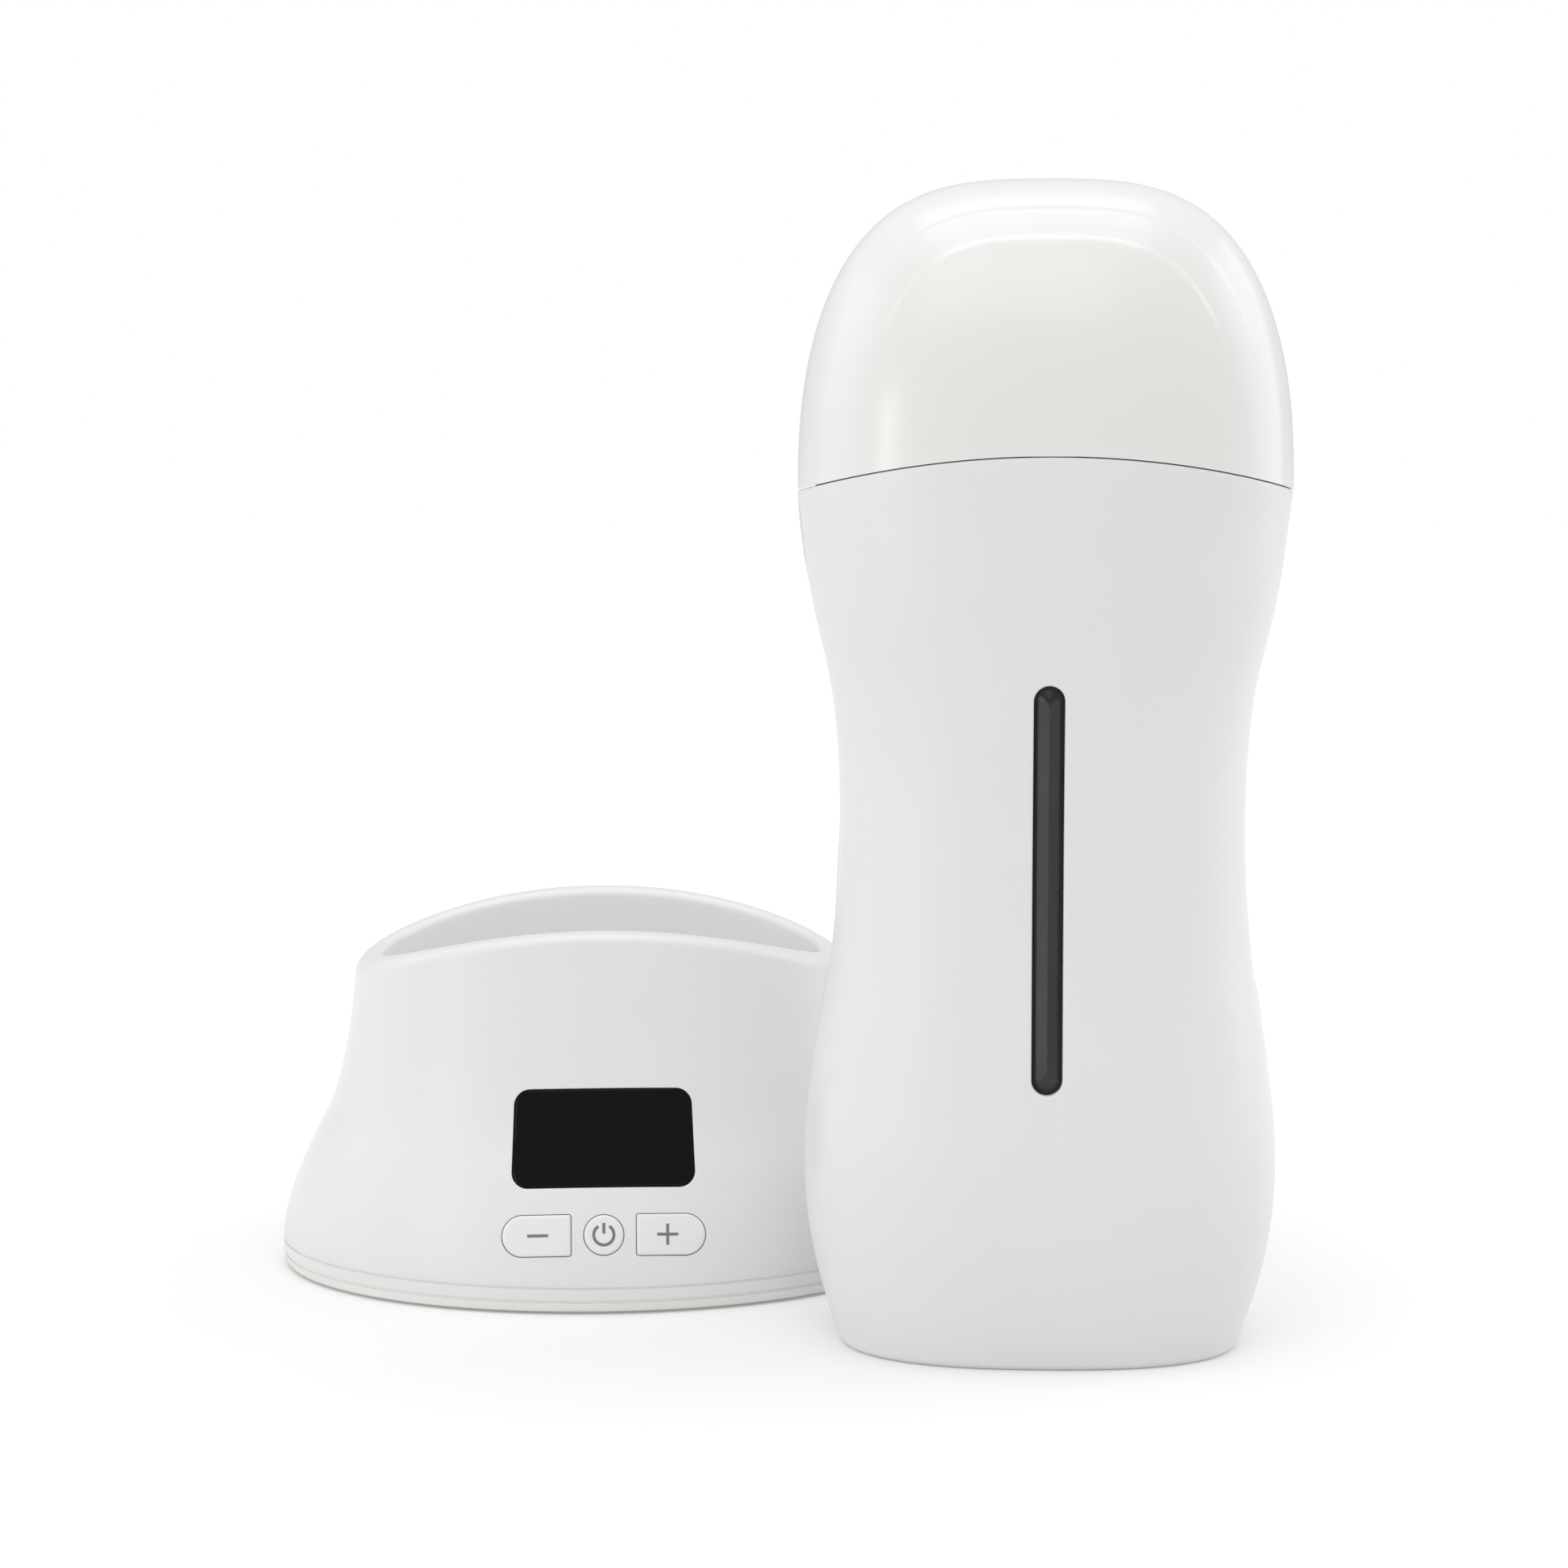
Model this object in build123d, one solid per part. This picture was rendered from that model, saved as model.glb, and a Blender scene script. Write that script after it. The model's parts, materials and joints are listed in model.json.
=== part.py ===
from build123d import *
from functools import lru_cache
from math import atan2, copysign, cos, pi, sin
import os

# Roll-on wax heater: a docking base with a display and three keys, and a handpiece with a cap.
# Millimetres, +Z up, and the keys face -Y. Each unit is built about its own upright axis, standing
# on the table. The handpiece is then stood beside the base, and both are moved together so that the
# origin is the middle of the underside of the box round the pair.

# ---------------------------------------------------------------- base: driving dimensions
base_half_width = 58.3        # widest, just above the table
base_half_depth = 44.0
rim_half_width = 44.6         # body under the rim
rim_half_depth = 33.4
rim_crest = 64.0              # height of the rim at the front and rear middle
rim_arc_radius = 117.0        # the rim is an arch seen from the front
rim_rounding = 1.6            # bullnose on both edges of the rim
base_wall = 2.2
cavity_top = 44.0             # the rim is solid above this
foot_height = 0.5             # rubber feet stand proud of the cover
cover_top = 2.3               # lower seam line
ring_top = 4.7                # upper seam line
ring_width = 3.6
seam_groove = 0.25            # set-back of the edge beside a seam line
foot_outline_power = 2.0      # plan outline: 2 is an ellipse, more is squarer
outline_power = 2.5           # plan outline of the rim and of the handpiece
outline_points = 16
# How the outline narrows from the foot to the rim: (share of the crest height, share of the flare)
flare_profile = [(0.0, 0.95), (0.07, 1.0), (0.20, 0.89), (0.34, 0.625), (0.47, 0.33),
                 (0.62, 0.14), (0.81, 0.01), (1.04, -0.07)]

# ---------------------------------------------------------------- handpiece: driving dimensions
handpiece_x = 72.1            # its axis, from the base's axis
handpiece_y = -60.2
handpiece_turn = -5.1         # degrees about the upright axis
foot_half_width = 33.2
foot_half_depth = 21.8
foot_edge = 1.3               # rounding under the foot
bulge_height = 31.0
bulge_half_width = 38.8
bulge_half_depth = 26.0
waist_height = 87.0
waist_half_width = 33.1
waist_half_depth = 23.6
shoulder_height = 141.0
shoulder_half_width = 40.0
shoulder_half_depth = 26.0
handpiece_height = 190.2
dome_height_power = 2.3
dome_width_power = 3.17
dome_depth_power = 2.6
seam_crest = 145.9            # cap seam at the front middle
seam_arc_radius = 152.0
seam_gap = 0.3
shell_wall = 2.2
cap_wall = 2.0
# Stepped arch on the cap's front and rear, where the face leans back more steeply than the dome:
# (margin inside the silhouette, power of the leaning face)
cap_panel_steps = [(5.6, 2.45), (10.3, 2.3)]
cap_panel_lead = 0.15         # how far the leaning faces start outside the dome at the shoulder

# ---------------------------------------------------------------- named clearances
dock_clearance = 0.8          # round the handpiece in its dock
neck_clearance = 0.4          # round the neck inside the cap
part_gap = 0.1                # between neighbours that don't touch
insert_gap = 0.12             # round the display window and the sight window
key_gap = 0.25                # round each key
running_gap = 0.05            # round a pin, a screw or a switch plunger
moving_gap = 0.2              # beyond a moving part's last position

# ---------------------------------------------------------------- control panel
display_low = 21.2
display_high = 37.5
display_top_width = 30.4
display_bottom_width = 31.7
display_corner = 2.8
window_thickness = 3.4
module_width = 27.0
module_height = 14.0
module_thickness = 2.4
key_height_on_base = 13.5     # middle of the row of keys
key_size = 7.2
power_key_radius = 3.5
key_inner_x = 5.5
key_outer_x = 17.5
key_corner = 0.5
key_proud = 0.3
key_travel = 0.5
key_depth = 5.9               # from the panel plane to the key's back
insert_flange = 0.9           # how far a key or window laps behind the wall
flange_thickness = 0.8
control_board_depth = 8.0
control_board_thickness = 1.2
control_board_half_width = 25.0
control_tongue_half_width = 14.0
control_board_bottom = -21.0  # along the panel, from the middle of the display
control_board_step = -10.0
control_board_top = 1.0
panel_boss_x = 22.0
panel_boss_radius = 2.6
switch_size = 4.6
switch_body_height = 1.0
switch_plunger_radius = 1.1
header_length = 20.0
header_width = 2.4

# ---------------------------------------------------------------- dock and contacts
dock_floor = 19.0
dock_floor_thickness = 2.0
dock_wall = 2.0
contact_spacing = 16.0
contact_radius = 1.0
contact_proud = 1.5
contact_travel = 1.3
contact_length = 9.0
contact_collar_radius = 1.6
contact_collar_height = 1.0
contact_hole_gap = 0.3        # round a pin in the dock floor
block_length = 24.0
block_width = 9.0

# ---------------------------------------------------------------- base internals
main_board_bottom = 6.3
main_board_thickness = 1.6
main_board_width = 60.0
main_board_depth = 48.0
board_tab_width = 18.0
board_tab_depth = 11.0
standoff_x = 26.0
standoff_y = 20.0
standoff_radius = 2.6
inlet_width = 9.0
inlet_height = 11.0
inlet_front = 26.0
inlet_back = 37.6
inlet_nose_radius = 4.0
inlet_bore_radius = 3.2
inlet_bore_depth = 9.5
inlet_pin_radius = 1.0
inlet_hole_gap = 0.3
capacitor_radius = 4.0
capacitor_height = 8.4
capacitor_x = -20.0
capacitor_y = -8.0
transistor_size = (6.5, 9.5, 2.3)
transistor_x = 19.0
transistor_y = -8.0
chip_size = (9.0, 9.0, 1.2)
chip_y = -12.5
ribbon_width = 12.0
ribbon_thickness = 0.3
ribbon_landing = 4.0          # length that lies on the main board
cover_boss_x = 36.0
cover_boss_y = 25.0
cover_boss_radius = 3.4
cover_boss_top = 24.0
locating_rib_width = 1.5
locating_rib_height = 4.0
rubber_foot_x = 42.0
rubber_foot_y = 15.0
rubber_foot_radius = 5.0
rubber_foot_seat = 0.6

# ---------------------------------------------------------------- screws
screw_radius = 1.3
screw_head_radius = 2.5
screw_head_height = 1.0
screw_slot_width = 0.7
screw_slot_depth = 0.5
small_screw_radius = 0.9
small_head_radius = 1.8
small_head_height = 0.8
cover_screw_length = 10.0
panel_screw_length = 3.6
board_screw_length = 3.4
shell_screw_length = 14.0

# ---------------------------------------------------------------- handpiece internals
neck_top = 152.0
neck_wall = 2.0
deck_bottom = 137.6
deck_thickness = 2.5
ledge_width = 3.0
ledge_thickness = 2.0
chamber_half_width = 28.0     # inside, round a cartridge
chamber_half_depth = 16.5
chamber_corner = 12.0
chamber_wall = 1.0
chamber_bottom = 36.0
chamber_flange = 2.0
cradle_thickness = 2.4
cradle_rim = 4.0
cradle_wall = 1.2
slot_low = 45.5
slot_high = 110.2
slot_width = 4.9
sight_recess = 0.2            # the sight window sits this much below the shell's face
shell_boss_radius = 2.9
upper_boss_x = 32.9
upper_boss_z = 127.0
lower_boss_x = 27.0
lower_boss_z = 15.0
screw_seat_y = 5.0
foot_cover_bottom = 0.6
foot_cover_thickness = 2.0
contact_board_height = 5.0
contact_board_thickness = 1.2
contact_board_half_width = 17.0
contact_board_half_depth = 8.0
contact_board_post_x = 14.0
contact_post_radius = 2.0
pad_radius = 3.4
pad_thickness = 1.0
pad_recess = 0.4
pad_stem_radius = 1.4
ptc_width = 24.0
ptc_height = 26.0
ptc_thickness = 2.4
ptc_heights = (62.0, 94.0)    # lower edge of each heater
clamp_width = 14.0
clamp_height = 60.0
clamp_thickness = 0.5
thermostat_x = -8.0
thermostat_size = (7.0, 3.4, 18.0)
fuse_x = 8.0
fuse_radius = 1.6
fuse_height = 12.0
fuse_lead_radius = 0.5
safety_bottom = 40.5          # lower end of the thermostat and of the fuse
lead_radius = 0.6
lead_start_y = 5.0
lead_bend_radius = 4.0

REACH = 400.0                 # longer than anything here, for cutting tools


# ================================================================ shared helpers
def slab(low, high):
    """Everything between two heights."""
    return Pos(0, 0, (low + high) / 2) * Box(REACH, REACH, high - low)


def upright(radius, low, high, x=0.0, y=0.0):
    """An upright round bar."""
    return Pos(x, y, (low + high) / 2) * Cylinder(radius, high - low)


def block(size_x, size_y, low, high, x=0.0, y=0.0):
    """An upright rectangular bar about (x, y)."""
    return Pos(x, y, (low + high) / 2) * Box(size_x, size_y, high - low)


def bar_along_y(radius, start, end, x, z):
    """A round bar from y = start to y = end."""
    return Pos(x, (start + end) / 2, z) * Rot(90, 0, 0) * Cylinder(radius, abs(end - start))


def corners(x, y):
    """The four points (+-x, +-y)."""
    return [(side * x, end * y) for side in (-1, 1) for end in (-1, 1)]


def join(pieces):
    """All the pieces as one shape."""
    whole = pieces[0]
    for piece in pieces[1:]:
        whole = whole + piece
    return whole


def together(pieces):
    """Separate solids kept side by side in one node."""
    return Compound(children=[solid for piece in pieces for solid in piece.solids()])


def under_arc(crest, radius):
    """Everything below a cylinder that lies along Y and arches over the middle."""
    roof = Pos(0, 0, crest - radius) * Rot(90, 0, 0) * Cylinder(radius, REACH)
    return roof + slab(crest - radius - REACH, crest - radius)


def screw(shaft_radius, head_radius, head_height, length):
    """A pan-head screw, head down at z = 0, with a cross recess, pointing up."""
    body = upright(head_radius, 0, head_height) + upright(shaft_radius, 0, head_height + length)
    arm = 2 * head_radius * 0.7
    for turn in (0, 90):
        body -= Rot(0, 0, turn) * block(arm, screw_slot_width, -1, screw_slot_depth)
    return body


def spread(value, power):
    """Rounds or squares an outline by moving its points along."""
    return copysign(abs(value) ** (2 / power), value)


def superellipse(half_x, half_y, z, power=outline_power):
    """A closed plan outline as a face at height z."""
    points = []
    for step in range(outline_points):
        angle = 2 * pi * step / outline_points
        points.append((half_x * spread(cos(angle), power), half_y * spread(sin(angle), power), z))
    return make_face(Spline(points, periodic=True))


# ================================================================ base
def flare_at(share):
    """How far the outline has flared at a share of the crest height, between the stations."""
    for (low, low_flare), (high, high_flare) in zip(flare_profile, flare_profile[1:]):
        if share <= high:
            return low_flare + (high_flare - low_flare) * (share - low) / (high - low)
    return flare_profile[-1][1]


def base_depth_at(z):
    """Half-depth of the base at height z."""
    return rim_half_depth + (base_half_depth - rim_half_depth) * flare_at(z / rim_crest)


@lru_cache(maxsize=None)
def base_form(inset=0.0):
    """The base's body as a solid, shrunk all round by inset."""
    rings = []
    for share, flare in flare_profile:
        width = rim_half_width + (base_half_width - rim_half_width) * flare
        depth = rim_half_depth + (base_half_depth - rim_half_depth) * flare
        power = outline_power + (foot_outline_power - outline_power) * flare
        rings.append(superellipse(width - inset, depth - inset, share * rim_crest, power))
    return loft(rings)


display_middle = (display_low + display_high) / 2
display_y = -base_depth_at(display_middle)
panel_rise = base_depth_at(key_height_on_base) - base_depth_at(display_high)
panel_tilt = atan2(panel_rise, display_high - key_height_on_base)
panel = Plane(origin=(0, display_y, display_middle), x_dir=(1, 0, 0),
              z_dir=(0, -cos(panel_tilt), sin(panel_tilt)))
display_size = (display_high - display_low) / cos(panel_tilt)
key_row = (key_height_on_base - display_middle) / cos(panel_tilt)


def prism(sketch, low, high):
    """A sketch on the control panel, extruded between two distances from the panel plane."""
    return extrude(panel.offset(low) * sketch, amount=high - low)


def display_outline():
    """The window is a little wider at its lower edge."""
    top = display_top_width / 2
    bottom = display_bottom_width / 2
    half = display_size / 2
    points = [(-bottom, -half), (bottom, -half), (top, half), (-top, half)]
    face = make_face(Polyline(points, close=True))
    return fillet(face.vertices(), display_corner)


def side_key_outline(side):
    """A key with a round outer end and a square inner end; side is -1 for minus, 1 for plus."""
    radius = key_size / 2
    centre = key_outer_x - radius
    length = centre - key_inner_x
    square = Pos(key_inner_x + length / 2, 0) * Rectangle(length, key_size)
    inner = square.vertices().sort_by(Axis.X)[:2]
    square = fillet(inner, key_corner)
    outline = square + Pos(centre, 0) * Circle(radius)
    if side < 0:
        outline = mirror(outline, about=Plane.YZ)
    return Pos(0, key_row) * outline


def power_key_outline():
    return Pos(0, key_row) * Circle(power_key_radius)


def panel_insert(outline, gap, proud, back):
    """Fills a hole in the front wall, follows its curve and laps behind it with a flange."""
    stem = prism(offset(outline, -gap), -back, REACH / 4) & base_form(-proud)
    lap = prism(offset(outline, insert_flange), -2 * control_board_depth, REACH / 4)
    seat = base_wall + part_gap
    lap = (lap & base_form(seat)) - base_form(seat + flange_thickness)
    return stem + lap


def dock_form(grow, bottom):
    """The space that the handpiece's lower end fills in its dock, grown by a clearance or wall."""
    rows = [row for row in body_rows() if row[0] <= bulge_height and row[0] != foot_edge]
    rows[0] = (0.0, foot_half_width, foot_half_depth)
    lower = loft([superellipse(w + grow, d + grow, dock_floor + z) for z, w, d in rows])
    top_outline = superellipse(bulge_half_width + grow, bulge_half_depth + grow,
                               dock_floor + bulge_height)
    form = lower + extrude(top_outline, amount=rim_crest)
    if bottom < dock_floor:
        outline = superellipse(foot_half_width + grow, foot_half_depth + grow, bottom)
        form += extrude(outline, amount=dock_floor - bottom)
    return form


def contact_points():
    return [(-contact_spacing / 2, 0.0), (contact_spacing / 2, 0.0)]


def rim_face(body):
    """The arched face on top of the rim: the highest face that the dock's mouth opens through."""
    open_faces = [face for face in body.faces() if face.inner_wires()]
    return max(open_faces, key=lambda face: face.center().Z)


def base_housing():
    """Outer moulding: skin, arched rim, dock walls, dock floor and bosses in one piece."""
    body = base_form() & slab(ring_top, REACH)
    well_outside = dock_form(dock_clearance + dock_wall, dock_floor - dock_floor_thickness)
    cavity = (base_form(base_wall) & slab(ring_top - 1, cavity_top)) - well_outside
    body = (body & under_arc(rim_crest, rim_arc_radius)) - dock_form(dock_clearance, dock_floor)
    body = fillet(rim_face(body).outer_wire().edges(), rim_rounding)
    body = fillet(rim_face(body).inner_wires()[0].edges(), rim_rounding)
    body -= cavity
    for x, y in corners(cover_boss_x, cover_boss_y):
        body += upright(cover_boss_radius, cover_top, cover_boss_top, x, y) & base_form(base_wall / 2)
    for side in (-1, 1):
        boss = Pos(side * panel_boss_x, key_row) * Circle(panel_boss_radius)
        body += prism(boss, -control_board_depth, REACH / 4) & base_form(base_wall / 2)
    for x, y in corners(cover_boss_x, cover_boss_y):
        tip = cover_top - 1.0 + cover_screw_length
        body -= upright(screw_radius + running_gap, 0, tip, x, y)
    for side in (-1, 1):
        pilot = Pos(side * panel_boss_x, key_row) * Circle(small_screw_radius + running_gap)
        body -= prism(pilot, -control_board_depth - 1,
                      panel_screw_length - control_board_thickness - control_board_depth)
    body -= prism(display_outline(), -window_thickness, REACH / 4)
    for outline in (side_key_outline(-1), power_key_outline(), side_key_outline(1)):
        body -= prism(outline, -control_board_depth, REACH / 4)
    for x, y in contact_points():
        body -= upright(contact_radius + contact_hole_gap, 0, dock_floor + 1, x, y)
    body -= bar_along_y(inlet_nose_radius + inlet_hole_gap, inlet_back, REACH / 4, 0, inlet_z())
    return body


def foot_block(inset, low, high):
    """Upright block with the base's widest outline, shrunk all round by inset."""
    outline = superellipse(base_half_width - inset, base_half_depth - inset, low,
                           foot_outline_power)
    return extrude(outline, amount=high - low)


def layer(low, high, seams):
    """The body between two heights, its outer edge set back beside each seam line."""
    piece = base_form() & slab(low, high)
    for seam in seams:
        piece -= slab(seam - seam_groove, seam + seam_groove) - base_form(seam_groove)
    return piece


def trim_ring():
    """Ring between the two seam lines."""
    ring = layer(cover_top, ring_top, (cover_top, ring_top))
    return ring - foot_block(ring_width, cover_top - 1, ring_top + 1)


def bottom_cover():
    """Closes the base, locates the ring and carries the main board."""
    plate = layer(foot_height, cover_top, (foot_height, cover_top))
    rib_inset = ring_width + part_gap
    rib_top = cover_top + locating_rib_height
    rib = foot_block(rib_inset, cover_top, rib_top)
    rib -= foot_block(rib_inset + locating_rib_width, 0, REACH / 4)
    for x, y in corners(cover_boss_x, cover_boss_y):
        rib -= upright(cover_boss_radius + part_gap, 0, REACH / 4, x, y)
    cover = plate + rib
    for x, y in corners(standoff_x, standoff_y):
        cover += upright(standoff_radius, cover_top, main_board_bottom, x, y)
        cover -= upright(small_screw_radius + running_gap, cover_top, main_board_bottom + 1, x, y)
    for x, y in corners(cover_boss_x, cover_boss_y):
        cover -= upright(screw_radius + running_gap, 0, cover_top + 1, x, y)
        cover -= upright(screw_head_radius + part_gap, 0, foot_height + screw_head_height, x, y)
    for x, y in corners(rubber_foot_x, rubber_foot_y):
        cover -= upright(rubber_foot_radius, 0, foot_height + rubber_foot_seat, x, y)
    return cover


def rubber_feet():
    top = foot_height + rubber_foot_seat
    return together([upright(rubber_foot_radius, 0, top, x, y)
                     for x, y in corners(rubber_foot_x, rubber_foot_y)])


def cover_screws():
    one = screw(screw_radius, screw_head_radius, screw_head_height, cover_screw_length - 1.0)
    return together([Pos(x, y, foot_height) * one for x, y in corners(cover_boss_x, cover_boss_y)])


def display_window():
    """Black glossy window, flush with the wall, with a pocket for the display behind it."""
    window = panel_insert(display_outline(), insert_gap, 0.0, window_thickness)
    pocket = Rectangle(module_width + 2 * part_gap, module_height + 2 * part_gap)
    return window - prism(pocket, -2 * control_board_depth, -window_thickness)


def display_module():
    back = window_thickness + module_thickness
    return prism(Rectangle(module_width, module_height), -back, -window_thickness)


def display_header():
    """Pin strip between the display and the control board."""
    strip = Pos(0, -module_height / 2 + header_width) * Rectangle(header_length, header_width)
    return prism(strip, -control_board_depth, -window_thickness - module_thickness)


def control_pcb():
    """T-shaped board behind the keys and the display."""
    back = control_board_depth + control_board_thickness
    bar = Pos(0, (control_board_bottom + control_board_step) / 2) * Rectangle(
        2 * control_board_half_width, control_board_step - control_board_bottom)
    tongue = Pos(0, (control_board_step + control_board_top) / 2) * Rectangle(
        2 * control_tongue_half_width, control_board_top - control_board_step)
    board = prism(bar + tongue, -back, -control_board_depth)
    for side in (-1, 1):
        hole = Pos(side * panel_boss_x, key_row) * Circle(small_screw_radius + running_gap)
        board -= prism(hole, -back - 1, -control_board_depth + 1)
    return board


def panel_screws():
    back = control_board_depth + control_board_thickness + small_head_height
    one = screw(small_screw_radius, small_head_radius, small_head_height,
                panel_screw_length - part_gap)
    place = panel.offset(-back)
    return together([place.location * Pos(side * panel_boss_x, key_row, 0) * one
                     for side in (-1, 1)])


def key_centres():
    middle = (key_inner_x + key_outer_x) / 2
    return (-middle, 0.0, middle)


def tact_switches():
    """Low switches on the control board; the keys press their plungers."""
    top = key_depth + key_travel + running_gap
    switches = []
    for x in key_centres():
        place = Pos(x, key_row)
        body = prism(place * Rectangle(switch_size, switch_size), -control_board_depth,
                     switch_body_height - control_board_depth)
        body += prism(place * Circle(switch_plunger_radius), -control_board_depth, -top)
        switches.append(body)
    return together(switches)


def key(outline):
    return panel_insert(outline, key_gap, key_proud, key_depth)


def board_top():
    return main_board_bottom + main_board_thickness


def inlet_z():
    return board_top() + inlet_height / 2


def main_pcb():
    board = block(main_board_width, main_board_depth, main_board_bottom, board_top())
    tab_y = (main_board_depth + board_tab_depth) / 2
    board += block(board_tab_width, board_tab_depth, main_board_bottom, board_top(), 0, tab_y)
    for x, y in corners(standoff_x, standoff_y):
        board -= upright(small_screw_radius + running_gap, 0, REACH / 4, x, y)
    return board


def pcb_screws():
    one = Rot(180, 0, 0) * screw(small_screw_radius, small_head_radius, small_head_height,
                                 board_screw_length)
    top = board_top() + small_head_height
    return together([Pos(x, y, top) * one for x, y in corners(standoff_x, standoff_y)])


def dc_inlet():
    """Barrel jack on the board's rear tab, its nose flush with the rear wall."""
    middle = (inlet_front + inlet_back) / 2
    body = block(inlet_width, inlet_back - inlet_front, board_top(), board_top() + inlet_height,
                 0, middle)
    nose = bar_along_y(inlet_nose_radius, inlet_back - 1, REACH / 4, 0, inlet_z())
    body += nose & base_form(part_gap)
    mouth = base_depth_at(inlet_z())
    return body - bar_along_y(inlet_bore_radius, mouth - inlet_bore_depth, REACH / 4, 0, inlet_z())


def inlet_pin():
    mouth = base_depth_at(inlet_z())
    root = mouth - inlet_bore_depth
    return bar_along_y(inlet_pin_radius, root, mouth - 1.0, 0, inlet_z())


def filter_capacitor():
    top = board_top() + capacitor_height
    return upright(capacitor_radius, board_top(), top, capacitor_x, capacitor_y)


def power_transistor():
    width, depth, height = transistor_size
    return block(width, depth, board_top(), board_top() + height, transistor_x, transistor_y)


def control_chip():
    width, depth, height = chip_size
    return block(width, depth, board_top(), board_top() + height, 0, chip_y)


def ribbon_cable():
    """Flat cable from the main board's front edge up the back of the control board."""
    back = panel.offset(-control_board_depth - control_board_thickness - ribbon_thickness / 2)
    low = back.from_local_coords(Vector(0, control_board_bottom + 3.0, 0))
    high = back.from_local_coords(Vector(0, control_board_step - 2.0, 0))
    lie = board_top() + ribbon_thickness / 2
    start = -main_board_depth / 2 + ribbon_landing
    slope = (high.Y - low.Y) / (high.Z - low.Z)
    bend = (low.Y + (lie - low.Z) * slope, lie)
    path = FilletPolyline((start, lie), bend, (high.Y, high.Z), radius=1.5)
    strip = Plane.YZ * trace(path, ribbon_thickness)
    return extrude(strip, amount=ribbon_width / 2, both=True)


def block_top():
    return dock_floor - dock_floor_thickness - part_gap


def pin_bottom():
    return dock_floor + contact_proud - contact_length


def collar_top():
    return block_top() - part_gap


def contact_block():
    """Holds the two sprung pins between the main board and the dock floor."""
    holder = block(block_length, block_width, board_top(), block_top())
    for x, y in contact_points():
        holder -= upright(contact_radius + running_gap, pin_bottom() - contact_travel - moving_gap,
                          REACH / 4, x, y)
        pocket = collar_top() - contact_collar_height - contact_travel - moving_gap
        holder -= upright(contact_collar_radius + moving_gap, pocket, REACH / 4, x, y)
    return holder


def contact_pin(x):
    """Round-nosed pin with a collar that keeps it under the dock floor."""
    tip = dock_floor + contact_proud
    pin = upright(contact_radius, pin_bottom(), tip - contact_radius, x)
    pin += Pos(x, 0, tip - contact_radius) * Sphere(contact_radius)
    pin += upright(contact_collar_radius, collar_top() - contact_collar_height, collar_top(), x)
    return pin


# ================================================================ handpiece
def part_way(low, high, height_share, change_share):
    """A row between two rows of (height, half-width, half-depth)."""
    height = low[0] + (high[0] - low[0]) * height_share
    width = low[1] + (high[1] - low[1]) * change_share
    return (height, width, low[2] + (high[2] - low[2]) * change_share)


def body_rows():
    """Height, half-width and half-depth from the foot to the shoulder."""
    sole = (0.0, foot_half_width - foot_edge, foot_half_depth - foot_edge)
    foot = (foot_edge, foot_half_width, foot_half_depth)
    bulge = (bulge_height, bulge_half_width, bulge_half_depth)
    waist = (waist_height, waist_half_width, waist_half_depth)
    shoulder = (shoulder_height, shoulder_half_width, shoulder_half_depth)
    return [sole, foot,
            part_way(foot, bulge, 0.28, 0.49), part_way(foot, bulge, 0.63, 0.88), bulge,
            part_way(bulge, waist, 0.29, 0.26), part_way(bulge, waist, 0.59, 0.74), waist,
            part_way(waist, shoulder, 0.37, 0.17), part_way(waist, shoulder, 0.69, 0.70), shoulder]


def dome_shares(share, depth_power=dome_depth_power):
    """Shares of the shoulder's width and depth that are left at a share of the dome's height."""
    left = 1 - share ** dome_height_power
    return left ** (1 / dome_width_power), left ** (1 / depth_power)


def dome_rows(shares, inset):
    """Rows of the dome above the shoulder, already shrunk by inset."""
    rows = []
    for share in shares:
        across, through = dome_shares(share)
        rows.append((shoulder_height + share * (handpiece_height - shoulder_height - inset),
                     (shoulder_half_width - inset) * across,
                     (shoulder_half_depth - inset) * through))
    return rows


def shrunk(rows, inset):
    return [(z, width - inset, depth - inset) for z, width, depth in rows]


def loft_rows(rows):
    return loft([superellipse(width, depth, z) for z, width, depth in rows])


@lru_cache(maxsize=None)
def body_form(inset=0.0):
    """The handpiece below the cap, and a little above the seam, shrunk all round by inset."""
    return loft_rows(shrunk(body_rows(), inset) + dome_rows((0.12, 0.25), inset))


@lru_cache(maxsize=None)
def dome_form(inset=0.0):
    """The cap's dome, and a little below the seam, shrunk all round by inset."""
    shares = (0.15, 0.33, 0.52, 0.7, 0.84, 0.93, 0.975, 0.996)
    return loft_rows(shrunk(body_rows()[-2:], inset) + dome_rows(shares, inset))


def leaning_form(depth_power):
    """Bar along X whose front and rear lean inwards from just outside the dome's shoulder."""
    rise = handpiece_height - shoulder_height
    front = [(-shoulder_half_depth - cap_panel_lead, shoulder_height - rise)]
    for share in (0.0, 0.25, 0.5, 0.7, 0.85, 0.95, 1.0):
        depth = (shoulder_half_depth + cap_panel_lead) * dome_shares(share, depth_power)[1]
        front.append((-depth, shoulder_height + share * rise))
    rear = [(-y, z) for y, z in reversed(front)]
    outline = Spline(front) + Spline(rear) + Line(rear[-1], front[0])
    return extrude(Plane.YZ * make_face(outline), amount=REACH / 4, both=True)


def outline_at(z, inset):
    """Plan outline of the body near height z, between the rows."""
    rows = body_rows()
    for low, high in zip(rows, rows[1:]):
        if z <= high[0]:
            share = (z - low[0]) / (high[0] - low[0])
            _, width, depth = part_way(low, high, share, share)
            return superellipse(width - inset, depth - inset, z)
    return superellipse(rows[-1][1] - inset, rows[-1][2] - inset, z)


def below_seam(gap):
    return under_arc(seam_crest - gap, seam_arc_radius)


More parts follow.
